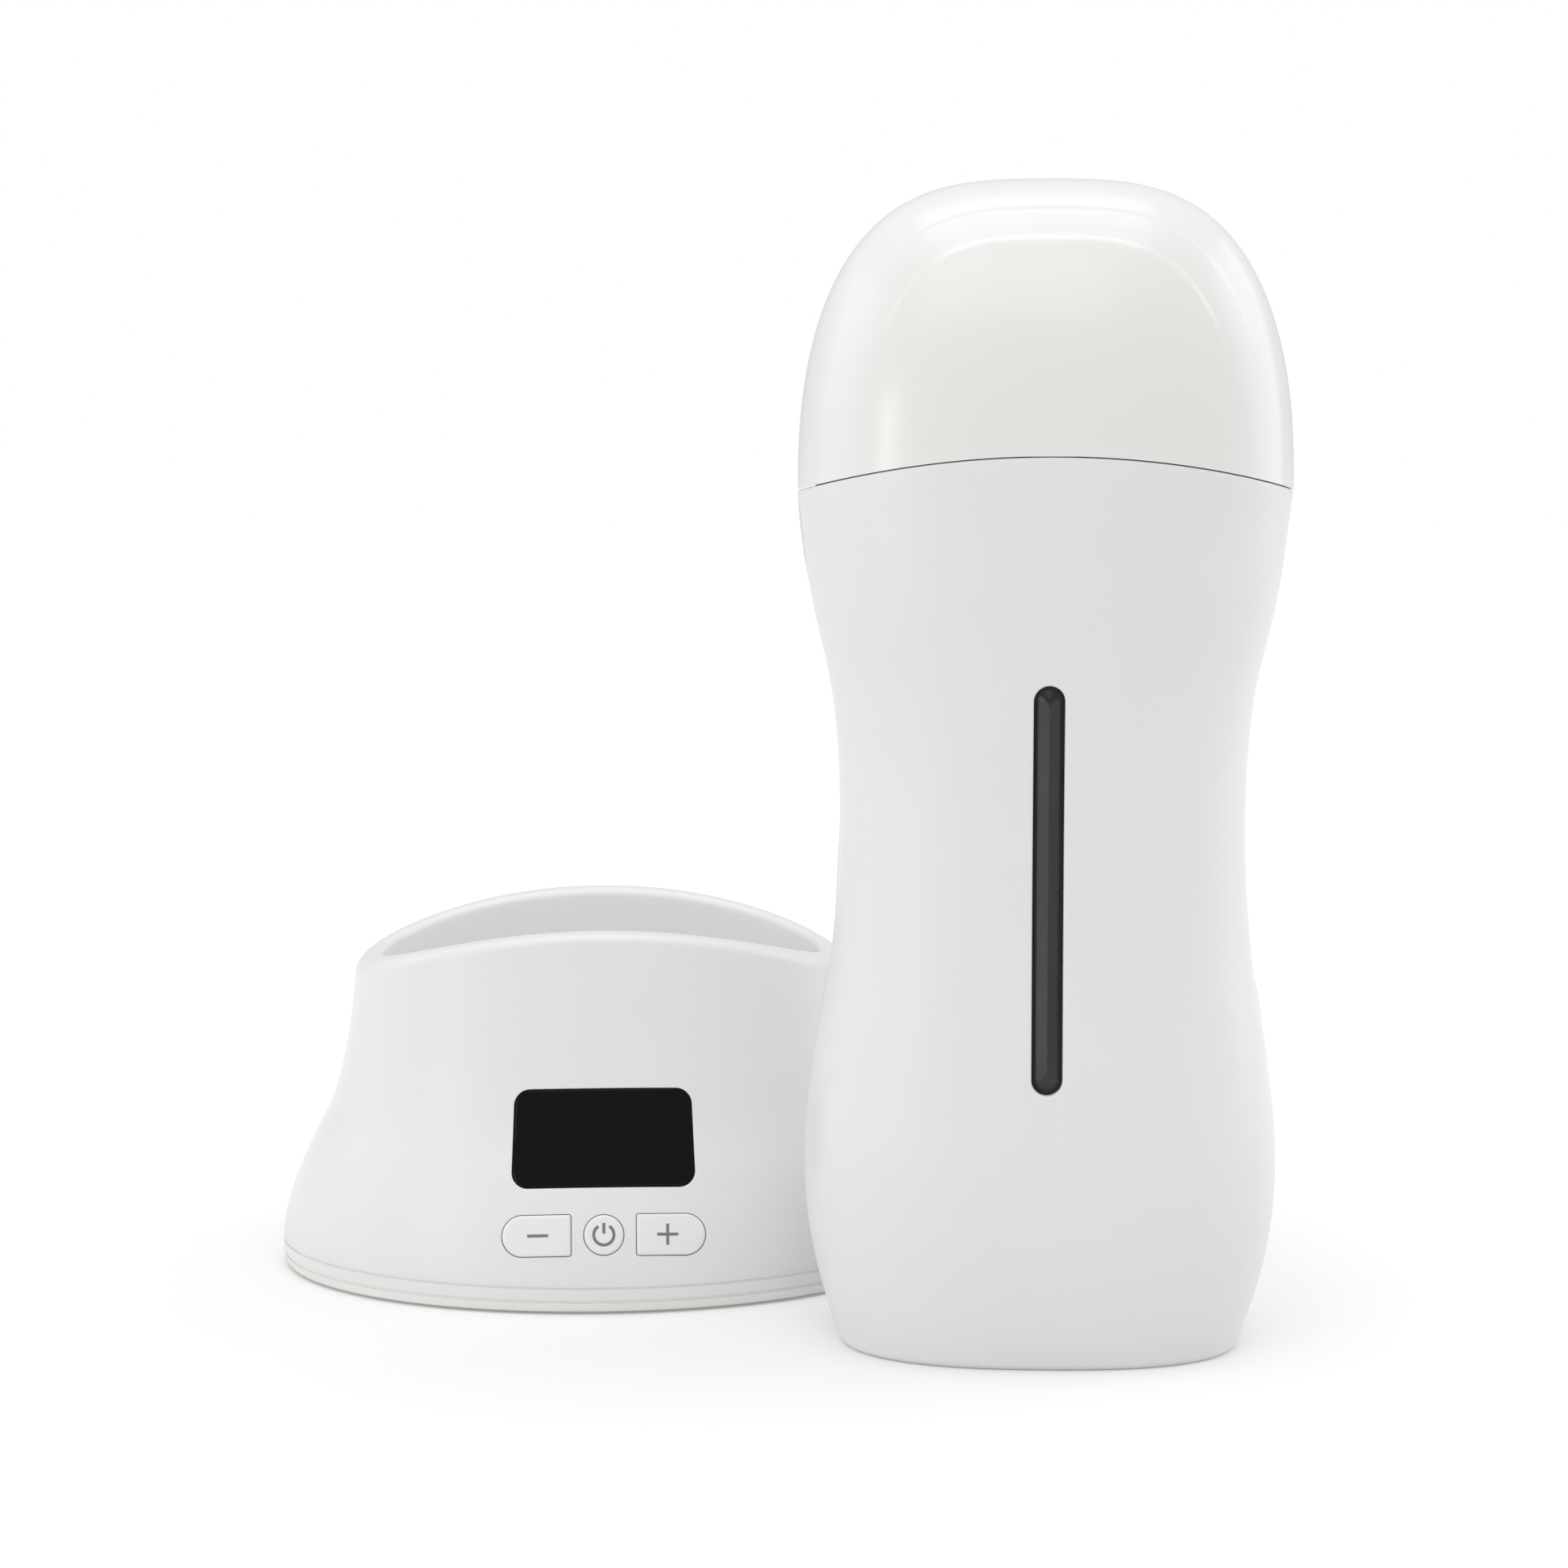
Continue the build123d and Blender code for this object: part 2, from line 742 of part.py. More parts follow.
def ledge(bottom, thickness):
    """Moulded ledge round the inside of the shells."""
    ring = outline_at(bottom, shell_wall / 2) - outline_at(bottom, shell_wall + ledge_width)
    return extrude(ring, amount=thickness)


def shell_screw_points():
    upper = [(side * upper_boss_x, upper_boss_z) for side in (-1, 1)]
    lower = [(side * lower_boss_x, lower_boss_z) for side in (-1, 1)]
    return upper + lower


def ledge_levels():
    """The deck and the cradle lie on ledges; the foot cover lies under one."""
    return (deck_bottom - ledge_thickness,
            chamber_bottom - cradle_thickness - ledge_thickness,
            foot_cover_bottom + foot_cover_thickness)


@lru_cache(maxsize=None)
def both_shells():
    shell = (body_form() & below_seam(seam_gap)) - body_form(shell_wall)
    for bottom in ledge_levels():
        shell += ledge(bottom, ledge_thickness)
    bosses = join([bar_along_y(shell_boss_radius, -REACH / 8, REACH / 8, x, z)
                   for x, z in shell_screw_points()])
    return shell + (bosses & body_form(shell_wall / 2))


def sight_outline():
    """Upright slot in the front face, drawn on the XZ plane."""
    length = slot_high - slot_low
    return Pos(0, (slot_low + slot_high) / 2) * Rot(0, 0, 90) * SlotOverall(length, slot_width)


def forward_prism(sketch):
    """A sketch on the XZ plane, extruded to the front."""
    return extrude(Plane.XZ * sketch, amount=REACH / 4)


def front_shell():
    """Front half of the body, with the sight slot and blind screw holes."""
    shell = both_shells() & (Pos(0, -REACH / 2, REACH / 4) * Box(REACH, REACH, REACH))
    shell -= forward_prism(sight_outline())
    depth = screw_seat_y - shell_screw_length - moving_gap
    for x, z in shell_screw_points():
        shell -= bar_along_y(screw_radius + running_gap, depth, 1, x, z)
    return shell


def rear_shell():
    """Rear half of the body, with deep screw recesses."""
    shell = both_shells() & (Pos(0, REACH / 2, REACH / 4) * Box(REACH, REACH, REACH))
    for x, z in shell_screw_points():
        shell -= bar_along_y(screw_radius + running_gap, -1, REACH / 8, x, z)
        shell -= bar_along_y(screw_head_radius + part_gap, screw_seat_y, REACH / 8, x, z)
    return shell


def shell_screws():
    one = Rot(90, 0, 0) * screw(screw_radius, screw_head_radius, screw_head_height,
                                shell_screw_length)
    seat = screw_seat_y + screw_head_height
    return together([Pos(x, seat, z) * one for x, z in shell_screw_points()])


def sight_window():
    """Smoked bar in the slot, held by a flange behind the wall."""
    stem = forward_prism(offset(sight_outline(), -insert_gap))
    stem = (stem & body_form(sight_recess)) - body_form(shell_wall + flange_thickness)
    lap = forward_prism(offset(sight_outline(), insert_flange))
    seat = shell_wall + part_gap
    lap = (lap & body_form(seat)) - body_form(seat + flange_thickness)
    return stem + lap


def chamber_outline(grow):
    """Plan of the cartridge space, grown by a wall or a clearance."""
    return RectangleRounded(2 * (chamber_half_width + grow), 2 * (chamber_half_depth + grow),
                            chamber_corner + grow)


def chamber_block(grow, low, high):
    return extrude(Pos(0, 0, low) * chamber_outline(grow), amount=high - low)


def deck_top():
    return deck_bottom + deck_thickness


def heating_chamber():
    """Aluminium can that holds the cartridge, with a flange on the deck and a sight slot."""
    can = chamber_block(chamber_wall, chamber_bottom, deck_top() + chamber_wall)
    can += chamber_block(chamber_wall + chamber_flange, deck_top(), deck_top() + chamber_wall)
    can -= chamber_block(0, chamber_bottom + chamber_wall, REACH / 2)
    return can - forward_prism(offset(sight_outline(), part_gap))


def neck_half_sizes():
    """The neck fits inside the cap at the height of its upper edge."""
    share = (neck_top - shoulder_height) / (handpiece_height - shoulder_height - cap_wall)
    across, through = dome_shares(share)
    return ((shoulder_half_width - cap_wall) * across - neck_clearance,
            (shoulder_half_depth - cap_wall) * through - neck_clearance)


def neck_collar():
    """Deck that carries the chamber, with the neck that the cap slides over."""
    width, depth = neck_half_sizes()
    collar = extrude(superellipse(width, depth, deck_bottom), amount=neck_top - deck_bottom)
    inside = superellipse(width - neck_wall, depth - neck_wall, deck_top())
    collar -= extrude(inside, amount=REACH / 4)
    return collar - chamber_block(chamber_wall + part_gap, deck_bottom - 1, neck_top)


def chamber_cradle():
    """Plate on the lower ledge with a rim round the foot of the chamber."""
    low = chamber_bottom - cradle_thickness
    plate = body_form(shell_wall + 2 * part_gap) & slab(low, chamber_bottom)
    rim_grow = chamber_wall + part_gap
    rim = chamber_block(rim_grow + cradle_wall, chamber_bottom - 0.1, chamber_bottom + cradle_rim)
    rim -= chamber_block(rim_grow, 0, REACH / 4)
    notch_y = chamber_half_depth + chamber_wall + REACH / 8
    notch = block(2 * (fuse_x + 2 * lead_radius + 1), REACH / 4, 0, REACH / 4, 0, notch_y)
    cradle = plate + rim
    return cradle - notch


def rear_face():
    """Rear face of the heating chamber."""
    return chamber_half_depth + chamber_wall


def ptc_heaters():
    """Two flat heaters on the chamber's rear face."""
    y = rear_face() + ptc_thickness / 2
    return together([block(ptc_width, ptc_thickness, low, low + ptc_height, 0, y)
                     for low in ptc_heights])


def heater_clamp():
    """Spring plate that presses both heaters on the chamber."""
    middle = (ptc_heights[0] + ptc_heights[-1] + ptc_height) / 2
    y = rear_face() + ptc_thickness + clamp_thickness / 2
    return block(clamp_width, clamp_thickness, middle - clamp_height / 2,
                 middle + clamp_height / 2, 0, y)


def thermostat():
    width, depth, height = thermostat_size
    return block(width, depth, safety_bottom, safety_bottom + height, thermostat_x,
                 rear_face() + depth / 2)


def safety_y():
    """Depth at which the leads meet the thermostat and the fuse."""
    return rear_face() + fuse_radius


def thermal_fuse():
    """Axial fuse with a wire at each end; the upper wire reaches the lower heater."""
    low = safety_bottom + (ptc_heights[0] - safety_bottom - fuse_height) / 2
    fuse = upright(fuse_radius, low, low + fuse_height, fuse_x, safety_y())
    return fuse + upright(fuse_lead_radius, safety_bottom, ptc_heights[0], fuse_x, safety_y())


def lead(x, top):
    """Insulated wire from the contact board up behind the chamber to height top."""
    start = contact_board_height + contact_board_thickness
    rise = start + 2 * lead_bend_radius
    points = [(x, lead_start_y, start), (x, lead_start_y, rise), (x, safety_y(), rise + lead_bend_radius),
              (x, safety_y(), top)]
    path = FilletPolyline(*points, radius=lead_bend_radius)
    return sweep(Plane(path @ 0, z_dir=path % 0) * Circle(lead_radius), path=path)


def heater_leads():
    """Two supply wires, and the short wire from the thermostat to the lower heater."""
    top = safety_bottom + thermostat_size[2]
    link = upright(lead_radius, top, ptc_heights[0], thermostat_x, safety_y())
    return together([lead(thermostat_x, safety_bottom), lead(fuse_x, safety_bottom), link])


def foot_cover():
    """Plate inside the foot, with openings for the contact pads and posts for their board."""
    top = foot_cover_bottom + foot_cover_thickness
    cover = body_form(shell_wall + part_gap) & slab(foot_cover_bottom, top - part_gap)
    for side in (-1, 1):
        cover += upright(contact_post_radius, top - 1, contact_board_height,
                         side * contact_board_post_x)
    for x, y in contact_points():
        recess = foot_cover_bottom + pad_recess + pad_thickness
        cover -= upright(pad_radius + part_gap, 0, recess, x, y)
        cover -= upright(pad_stem_radius + part_gap, 0, REACH / 4, x, y)
    return cover


def contact_board():
    low = contact_board_height
    return block(2 * contact_board_half_width, 2 * contact_board_half_depth, low,
                 low + contact_board_thickness)


def contact_pads():
    """Gilt pads under the foot that meet the dock's pins, with stems up to their board."""
    low = foot_cover_bottom + pad_recess
    pads = []
    for x, y in contact_points():
        pad = upright(pad_radius, low, low + pad_thickness, x, y)
        pads.append(pad + upright(pad_stem_radius, low, contact_board_height, x, y))
    return together(pads)


def cap_panel(margin):
    """Arch on the XZ plane, a margin inside the cap's silhouette."""
    width = shoulder_half_width - margin
    height = handpiece_height - shoulder_height - margin
    steps = 8
    rise = []
    for step in range(steps + 1):
        share = sin(pi / 2 * step / steps)
        rise.append((width * dome_shares(share)[0], shoulder_height + share * height))
    left = [(-x, z) for x, z in reversed(rise[:-1])]
    low = shoulder_height - REACH / 8
    arch = Spline(rise + left)
    sides = Polyline((-width, shoulder_height), (-width, low), (width, low), (width, shoulder_height))
    return make_face(arch + sides)


def cap():
    """Frosted dome with a stepped arch on its front and rear."""
    outer = dome_form()
    for margin, depth_power in cap_panel_steps:
        arch = extrude(Plane.XZ * cap_panel(margin), amount=REACH / 4, both=True)
        outer -= arch - leaning_form(depth_power)
    return (outer - dome_form(cap_wall)) - below_seam(0)


# ================================================================ write every node
def to_middle(shapes):
    """The move that brings the middle of the box round all the shapes over the origin."""
    boxes = [shape.bounding_box() for shape in shapes]
    x = (min(box.min.X for box in boxes) + max(box.max.X for box in boxes)) / 2
    y = (min(box.min.Y for box in boxes) + max(box.max.Y for box in boxes)) / 2
    return Pos(-x, -y, 0)


def main():
    os.makedirs("parts", exist_ok=True)
    base_nodes = {
        "base_housing": base_housing(),
        "trim_ring": trim_ring(),
        "bottom_cover": bottom_cover(),
        "rubber_feet": rubber_feet(),
        "cover_screws": cover_screws(),
        "display_window": display_window(),
        "display_module": display_module(),
        "display_header": display_header(),
        "control_pcb": control_pcb(),
        "panel_screws": panel_screws(),
        "tact_switches": tact_switches(),
        "button_minus": key(side_key_outline(-1)),
        "button_power": key(power_key_outline()),
        "button_plus": key(side_key_outline(1)),
        "main_pcb": main_pcb(),
        "pcb_screws": pcb_screws(),
        "dc_inlet": dc_inlet(),
        "inlet_pin": inlet_pin(),
        "filter_capacitor": filter_capacitor(),
        "power_transistor": power_transistor(),
        "control_chip": control_chip(),
        "ribbon_cable": ribbon_cable(),
        "contact_block": contact_block(),
        "contact_pin_left": contact_pin(-contact_spacing / 2),
        "contact_pin_right": contact_pin(contact_spacing / 2),
    }
    handpiece_nodes = {
        "front_shell": front_shell(),
        "rear_shell": rear_shell(),
        "shell_screws": shell_screws(),
        "sight_window": sight_window(),
        "neck_collar": neck_collar(),
        "heating_chamber": heating_chamber(),
        "chamber_cradle": chamber_cradle(),
        "ptc_heaters": ptc_heaters(),
        "heater_clamp": heater_clamp(),
        "thermostat": thermostat(),
        "thermal_fuse": thermal_fuse(),
        "heater_leads": heater_leads(),
        "foot_cover": foot_cover(),
        "contact_board": contact_board(),
        "contact_pads": contact_pads(),
        "cap": cap(),
    }
    stand = Pos(handpiece_x, handpiece_y, 0) * Rot(0, 0, handpiece_turn)
    shapes = dict(base_nodes)
    shapes.update({name: stand * shape for name, shape in handpiece_nodes.items()})
    centred = to_middle(shapes.values())
    for name, shape in shapes.items():
        export_step(centred * shape, f"parts/{name}.step")


main()
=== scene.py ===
import json
from bisect import bisect_right
from math import asin, atan2, ceil, copysign, cos, hypot, pi, radians, sin, sqrt

import bmesh
import bpy
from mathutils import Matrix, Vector
from mathutils.geometry import delaunay_2d_cdt


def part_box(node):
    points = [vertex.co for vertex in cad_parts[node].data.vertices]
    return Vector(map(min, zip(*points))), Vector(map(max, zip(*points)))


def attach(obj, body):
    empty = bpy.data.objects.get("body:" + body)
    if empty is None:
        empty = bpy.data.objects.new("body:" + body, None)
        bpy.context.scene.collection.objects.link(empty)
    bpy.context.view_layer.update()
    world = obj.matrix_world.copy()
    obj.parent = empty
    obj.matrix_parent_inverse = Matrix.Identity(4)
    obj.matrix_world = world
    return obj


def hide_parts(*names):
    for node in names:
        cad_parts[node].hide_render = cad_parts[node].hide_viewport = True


# Looks of the roll-on wax heater. Lengths are in millimetres in the shape functions and become metres
# when a mesh is made. Each unit is shaped about its own upright axis, and make_piece moves it to where
# the frame has that unit.

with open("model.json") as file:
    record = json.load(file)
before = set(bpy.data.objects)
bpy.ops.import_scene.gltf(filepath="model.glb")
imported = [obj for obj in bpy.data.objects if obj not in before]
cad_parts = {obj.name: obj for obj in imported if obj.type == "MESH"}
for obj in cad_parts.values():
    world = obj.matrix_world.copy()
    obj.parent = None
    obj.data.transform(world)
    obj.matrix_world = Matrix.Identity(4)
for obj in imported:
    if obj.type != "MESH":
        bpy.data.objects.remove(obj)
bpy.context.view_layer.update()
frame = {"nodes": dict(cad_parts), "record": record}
nodes = frame["nodes"]
scene = bpy.context.scene
MM = 0.001

# -------- the base's shape
BASE_WIDE, BASE_DEEP = 58.3, 44.0  # half-width and half-depth where the base is widest
RIM_WIDE, RIM_DEEP = 44.6, 33.4
RIM_CREST, RIM_RADIUS = 64.0, 117.0
RIM_ROUNDING = 1.6
BASE_WALL = 2.2
CAVITY_TOP = 44.0
RING_TOP = 4.7
FLARE = [(0.0, 0.95), (0.07, 1.0), (0.20, 0.89), (0.34, 0.625), (0.47, 0.33), (0.62, 0.14),
         (0.81, 0.01), (1.04, -0.07)]  # (share of the height, share of the way to full width)
FOOT_POWER, MIDDLE_POWER, UPPER_POWER = 2.0, 2.2, 2.5

# -------- the handpiece's shape
HAND_X, HAND_Y, HAND_TURN = 72.1, -60.2, radians(-5.1)
FOOT_WIDE, FOOT_DEEP, FOOT_EDGE = 33.2, 21.8, 1.3
BULGE_Z, BULGE_WIDE, BULGE_DEEP = 31.0, 38.8, 26.0
WAIST_Z, WAIST_WIDE, WAIST_DEEP = 87.0, 33.1, 23.6
SHOULDER_Z, SHOULDER_WIDE, SHOULDER_DEEP = 141.0, 40.0, 26.0
HAND_TOP = 190.2
DOME_HEIGHT_POWER, DOME_WIDTH_POWER, DOME_DEPTH_POWER = 2.3, 3.17, 2.6
SEAM_CREST, SEAM_RADIUS, SEAM_GAP = 145.9, 152.0, 0.18
SHELL_WALL, CAP_WALL = 2.2, 2.0
SLOT_LOW, SLOT_HIGH, SLOT_WIDTH = 45.5, 110.2, 4.9

# -------- dock and control panel
DOCK_FLOOR, DOCK_FLOOR_UNDER, DOCK_CLEARANCE, DOCK_WALL = 19.0, 17.0, 0.8, 2.0
CONTACT_X, CONTACT_HOLE = 8.0, 1.3
INLET_Z, INLET_HOLE = 13.35, 4.3
DISPLAY_LOW, DISPLAY_HIGH = 21.2, 37.5
DISPLAY_TOP_WIDTH, DISPLAY_BOTTOM_WIDTH, DISPLAY_CORNER = 30.4, 31.7, 2.8
WINDOW_BACK = 3.4
KEY_ROW_Z, KEY_SIZE, POWER_RADIUS = 13.5, 7.2, 3.5
KEY_INNER, KEY_OUTER, KEY_CORNER = 5.5, 17.5, 0.5
KEY_PROUD, KEY_GAP, KEY_BACK = 0.3, 0.13, 5.9
INSERT_GAP = 0.12

# -------- edges and fine detail
HOLE_EDGE = 0.3  # rounding of the sight slot and the inlet hole
PANEL_EDGE = 0.13  # rounding of the holes in the control panel
SEAM_EDGE = 0.3  # rounding beside the seam lines
SMALLEST_CORNER = 0.06  # kept where an outline moves in by more than its corner
DOCK_FILLET = 0.9  # between the dock's side and its floor
HALVES_GROOVE = 0.12  # where the handpiece's halves meet
KEY_EDGE_IN, KEY_EDGE_DOWN = 0.6, 0.3
WINDOW_EDGE_IN, WINDOW_EDGE_DOWN = 0.5, 0.3
SIGHT_EDGE_DOWN, SIGHT_RIDGE_DOWN = 1.15, 0.15
SIGN_STROKE, SIGN_PROUD, SIGN_SUNK = 0.5, 0.03, 0.02
SIGN_HALF, MINUS_X, PLUS_X = 1.8, -11.3, 10.9
POWER_RING, POWER_GAP, POWER_BAR = 1.72, radians(33), (0.2, 2.0)
CAP_STEPS = [(5.6, 0.34), (10.3, 0.30)]  # (margin inside the silhouette, rise of the step)
CAP_STEP_WIDTH = 1.0
CAP_STEP_HEIGHTS = 161.0, 174.0  # where the steps begin and are full
CAP_STEP_MARGINS = 0.0, 4.0  # the same, in from the silhouette
# Where the cap's painted shade, which stands for the darker grey-green inside seen through the frosted
# cap, begins and is full, in from the sides, down from the top and up from the seam, and how far its
# upper border falls to the sides.
SHADE_SIDES, SHADE_TOP, SHADE_SEAM, SHADE_FALL = (8.5, 13.0), (10.4, 13.4), (-2.5, 3.5), 12.0

# -------- fineness of the meshes
BASE_COLUMNS, HAND_COLUMNS = 320, 200  # round a whole outline
OUTER_ROWS, CAVITY_ROWS, WELL_ROWS, DOCK_ROWS = 38, 26, 34, 16
SHELL_ROWS, SHELL_INNER_ROWS = 96, 72
CAP_PIECES = 84  # of a ring, from the seam to its highest point
PANEL_GUIDES, PANEL_INNER_GUIDES = (0.45, 1.1), (0.6,)
INLET_GUIDES, SIGHT_GUIDES = (0.9,), (0.6, 1.4)
FACE_BORDER = 0.3  # between an insert's rounded edge and its filled face
KEY_SPACING, WINDOW_SPACING = 0.5, 1.1
SPACING_CLEARANCE = 0.6  # from a filled loop to the points in it, in spacings
CELL_CLEARANCE = 0.35  # from a hole to the grid's points, in cells squared
ARC_PIECES, ARC_STEP = 6, 0.35  # fewest pieces of an arc, and their length in steps
SETTLING = 12  # rounds in which a point settles on an arch
PANEL_REACH, HALVINGS = 12.0, 34  # search for the skin on a normal of the panel
SAME_PLACE, SMALLEST_AREA = 1e-7, 1e-5  # in flat triangulations


# ======== curves and skins
def blend(a, b, share):
    """Part of the way from one row of numbers to another."""
    return tuple(p + (q - p) * share for p, q in zip(a, b))


def eased(value, start, end):
    """0 up to start, 1 from end on, and a smooth step between."""
    share = min(max((value - start) / (end - start), 0.0), 1.0)
    return share * share * (3 - 2 * share)


def smooth_through(stations):
    """A function with a smooth curve through (position, value) stations."""
    places = [place for place, _ in stations]
    values = [value for _, value in stations]
    steps = [b - a for a, b in zip(places, places[1:])]
    rises = [(b - a) / step for a, b, step in zip(values, values[1:], steps)]
    slopes = [rises[0]]
    for left, right, a, b in zip(rises, rises[1:], steps, steps[1:]):
        slopes.append((left * b + right * a) / (a + b))
    slopes.append(rises[-1])

    def curve(place):
        i = min(max(bisect_right(places, place) - 1, 0), len(steps) - 1)
        t = (place - places[i]) / steps[i]
        h = steps[i]
        return (values[i] * (1 + 2 * t) * (1 - t) ** 2 + slopes[i] * h * t * (1 - t) ** 2
                + values[i + 1] * t * t * (3 - 2 * t) + slopes[i + 1] * h * t * t * (t - 1))

    return curve


def spread(value, power):
    return copysign(abs(value) ** (2 / power), value)


def on_outline(angle, wide, deep, power):
    """Point of a superellipse."""
    return wide * spread(cos(angle), power), deep * spread(sin(angle), power)


def angle_of(x, y, wide, deep, power):
    """The angle whose point on_outline lies in the direction of (x, y)."""
    across = copysign(abs(x / wide) ** (power / 2), x)
    along = copysign(abs(y / deep) ** (power / 2), y)
    return atan2(along, across) % (2 * pi)


def even_places(path, count):
    """Places that divide a flat path into equal lengths: (number of its piece, part of the piece)."""
    lengths = [0.0]
    for a, b in zip(path, path[1:]):
        lengths.append(lengths[-1] + hypot(b[0] - a[0], b[1] - a[1]))
    places = []
    for step in range(count):
        target = lengths[-1] * step / count
        i = bisect_right(lengths, target) - 1
        places.append((i, (target - lengths[i]) / (lengths[i + 1] - lengths[i])))
    return places


def even_angles(wide, deep, power, count):
    """Angles that divide the outline into equal lengths, from +X round to +X again."""
    fine = 40 * count
    path = [on_outline(2 * pi * step / fine, wide, deep, power) for step in range(fine + 1)]
    return [2 * pi * (i + part) / fine for i, part in even_places(path, count)] + [2 * pi]


flare = smooth_through(FLARE)


def base_sizes(z, inset=0.0):
    """Half-width, half-depth and power of the base's outline at height z."""
    share = flare(z / RIM_CREST)
    return (RIM_WIDE + (BASE_WIDE - RIM_WIDE) * share - inset,
            RIM_DEEP + (BASE_DEEP - RIM_DEEP) * share - inset,
            UPPER_POWER + (FOOT_POWER - UPPER_POWER) * share)


def part_way(low, high, height_share, change_share):
    """A row between two rows of body_rows."""
    return (blend(low, high, height_share)[0], *blend(low, high, change_share)[1:])


def body_rows():
    """Height, half-width and half-depth of the handpiece from the foot to the shoulder."""
    foot = (FOOT_EDGE, FOOT_WIDE, FOOT_DEEP)
    bulge = (BULGE_Z, BULGE_WIDE, BULGE_DEEP)
    waist = (WAIST_Z, WAIST_WIDE, WAIST_DEEP)
    shoulder = (SHOULDER_Z, SHOULDER_WIDE, SHOULDER_DEEP)
    return [foot, part_way(foot, bulge, 0.28, 0.49), part_way(foot, bulge, 0.63, 0.88), bulge,
            part_way(bulge, waist, 0.29, 0.26), part_way(bulge, waist, 0.59, 0.74), waist,
            part_way(waist, shoulder, 0.37, 0.17), part_way(waist, shoulder, 0.69, 0.70), shoulder]


body_wide = smooth_through([(z, width) for z, width, _ in body_rows()])
body_deep = smooth_through([(z, depth) for z, _, depth in body_rows()])


def hand_sizes(z, inset=0.0):
    """Half-width, half-depth and power of the handpiece's outline at height z."""
    if z <= SHOULDER_Z:
        z = max(z, FOOT_EDGE)
        return body_wide(z) - inset, body_deep(z) - inset, UPPER_POWER
    share = min((z - SHOULDER_Z) / (HAND_TOP - SHOULDER_Z - inset), 1.0)
    left = max(1 - share ** DOME_HEIGHT_POWER, 1e-9)
    return ((SHOULDER_WIDE - inset) * left ** (1 / DOME_WIDTH_POWER),
            (SHOULDER_DEEP - inset) * left ** (1 / DOME_DEPTH_POWER), UPPER_POWER)


def dock_sizes(z, inset=0.0):
    """Outline of the dock's inside: the handpiece standing on the dock floor, with its clearance."""
    height = min(max(z - DOCK_FLOOR, 0.0), BULGE_Z)
    return hand_sizes(height, inset - DOCK_CLEARANCE)


def skin_point(sizes, angle, z, inset=0.0):
    """Point of the skin with these sizes at an angle and a height, moved in by the inset."""
    x, y = on_outline(angle, *sizes(z, inset))
    return x, y, z


def skin_row(sizes, angles, z, inset=0.0):
    return [skin_point(sizes, angle, z, inset) for angle in angles]


def face_point(sizes, x, z, inset, side):
    """Point on a skin's front (side -1) or rear (side 1) at this x and height."""
    wide, deep, power = sizes(z, inset)
    share = max(1 - abs(x / wide) ** power, 0.0)
    return x, side * deep * share ** (1 / power), z


def hand_face(x, z, inset=0.0, side=-1):
    return face_point(hand_sizes, x, z, inset, side)


def arch(x, crest, radius):
    """Height of an arch that lies along Y."""
    return crest - radius + sqrt(max(radius * radius - x * x, 0.0))


def seam_row(angles, inset, crest):
    """Row of points where the handpiece's skin, moved in by the inset, meets the seam's arch."""
    row = []
    for angle in angles:
        z = crest
        for _ in range(SETTLING):
            z = arch(skin_point(hand_sizes, angle, z, inset)[0], crest, SEAM_RADIUS)
        row.append(skin_point(hand_sizes, angle, z, inset))
    return row


def heights(row):
    return [z for _, _, z in row]


def rounding(steps=5):
    """Pairs along a quarter turn that rounds an edge: how far a point lies from the face where the
    turn starts and from the face where it ends, as shares of the radius."""
    return [(1 - cos(pi / 2 * k / steps), 1 - sin(pi / 2 * k / steps)) for k in range(steps + 1)]


# ======== the control panel's plane
def plain_depth(z):
    """Half-depth of the base with straight runs between the flare's stations."""
    share = z / RIM_CREST
    (low, start), (high, end) = next(pair for pair in zip(FLARE, FLARE[1:]) if share <= pair[1][0])
    return RIM_DEEP + (BASE_DEEP - RIM_DEEP) * (start + (end - start) * (share - low) / (high - low))


DISPLAY_MIDDLE = (DISPLAY_LOW + DISPLAY_HIGH) / 2
PANEL_TILT = atan2(plain_depth(KEY_ROW_Z) - plain_depth(DISPLAY_HIGH), DISPLAY_HIGH - KEY_ROW_Z)
DISPLAY_HALF = (DISPLAY_HIGH - DISPLAY_LOW) / cos(PANEL_TILT) / 2
KEY_ROW = (KEY_ROW_Z - DISPLAY_MIDDLE) / cos(PANEL_TILT)


def on_panel(x, up, out):
    """Point a distance out of the panel's plane."""
    y = -plain_depth(DISPLAY_MIDDLE) + up * sin(PANEL_TILT) - out * cos(PANEL_TILT)
    return x, y, DISPLAY_MIDDLE + up * cos(PANEL_TILT) + out * sin(PANEL_TILT)


def panel_point(x, up, inset=0.0):
    """Where the panel's normal at (x, up) meets the base shrunk by inset."""
    low, high = -PANEL_REACH, PANEL_REACH
    for _ in range(HALVINGS):
        out = (low + high) / 2
        point = on_panel(x, up, out)
        wide, deep, power = base_sizes(point[2], inset)
        if abs(point[0] / wide) ** power + abs(point[1] / deep) ** power < 1:
            low = out
        else:
            high = out
    return on_panel(x, up, low)


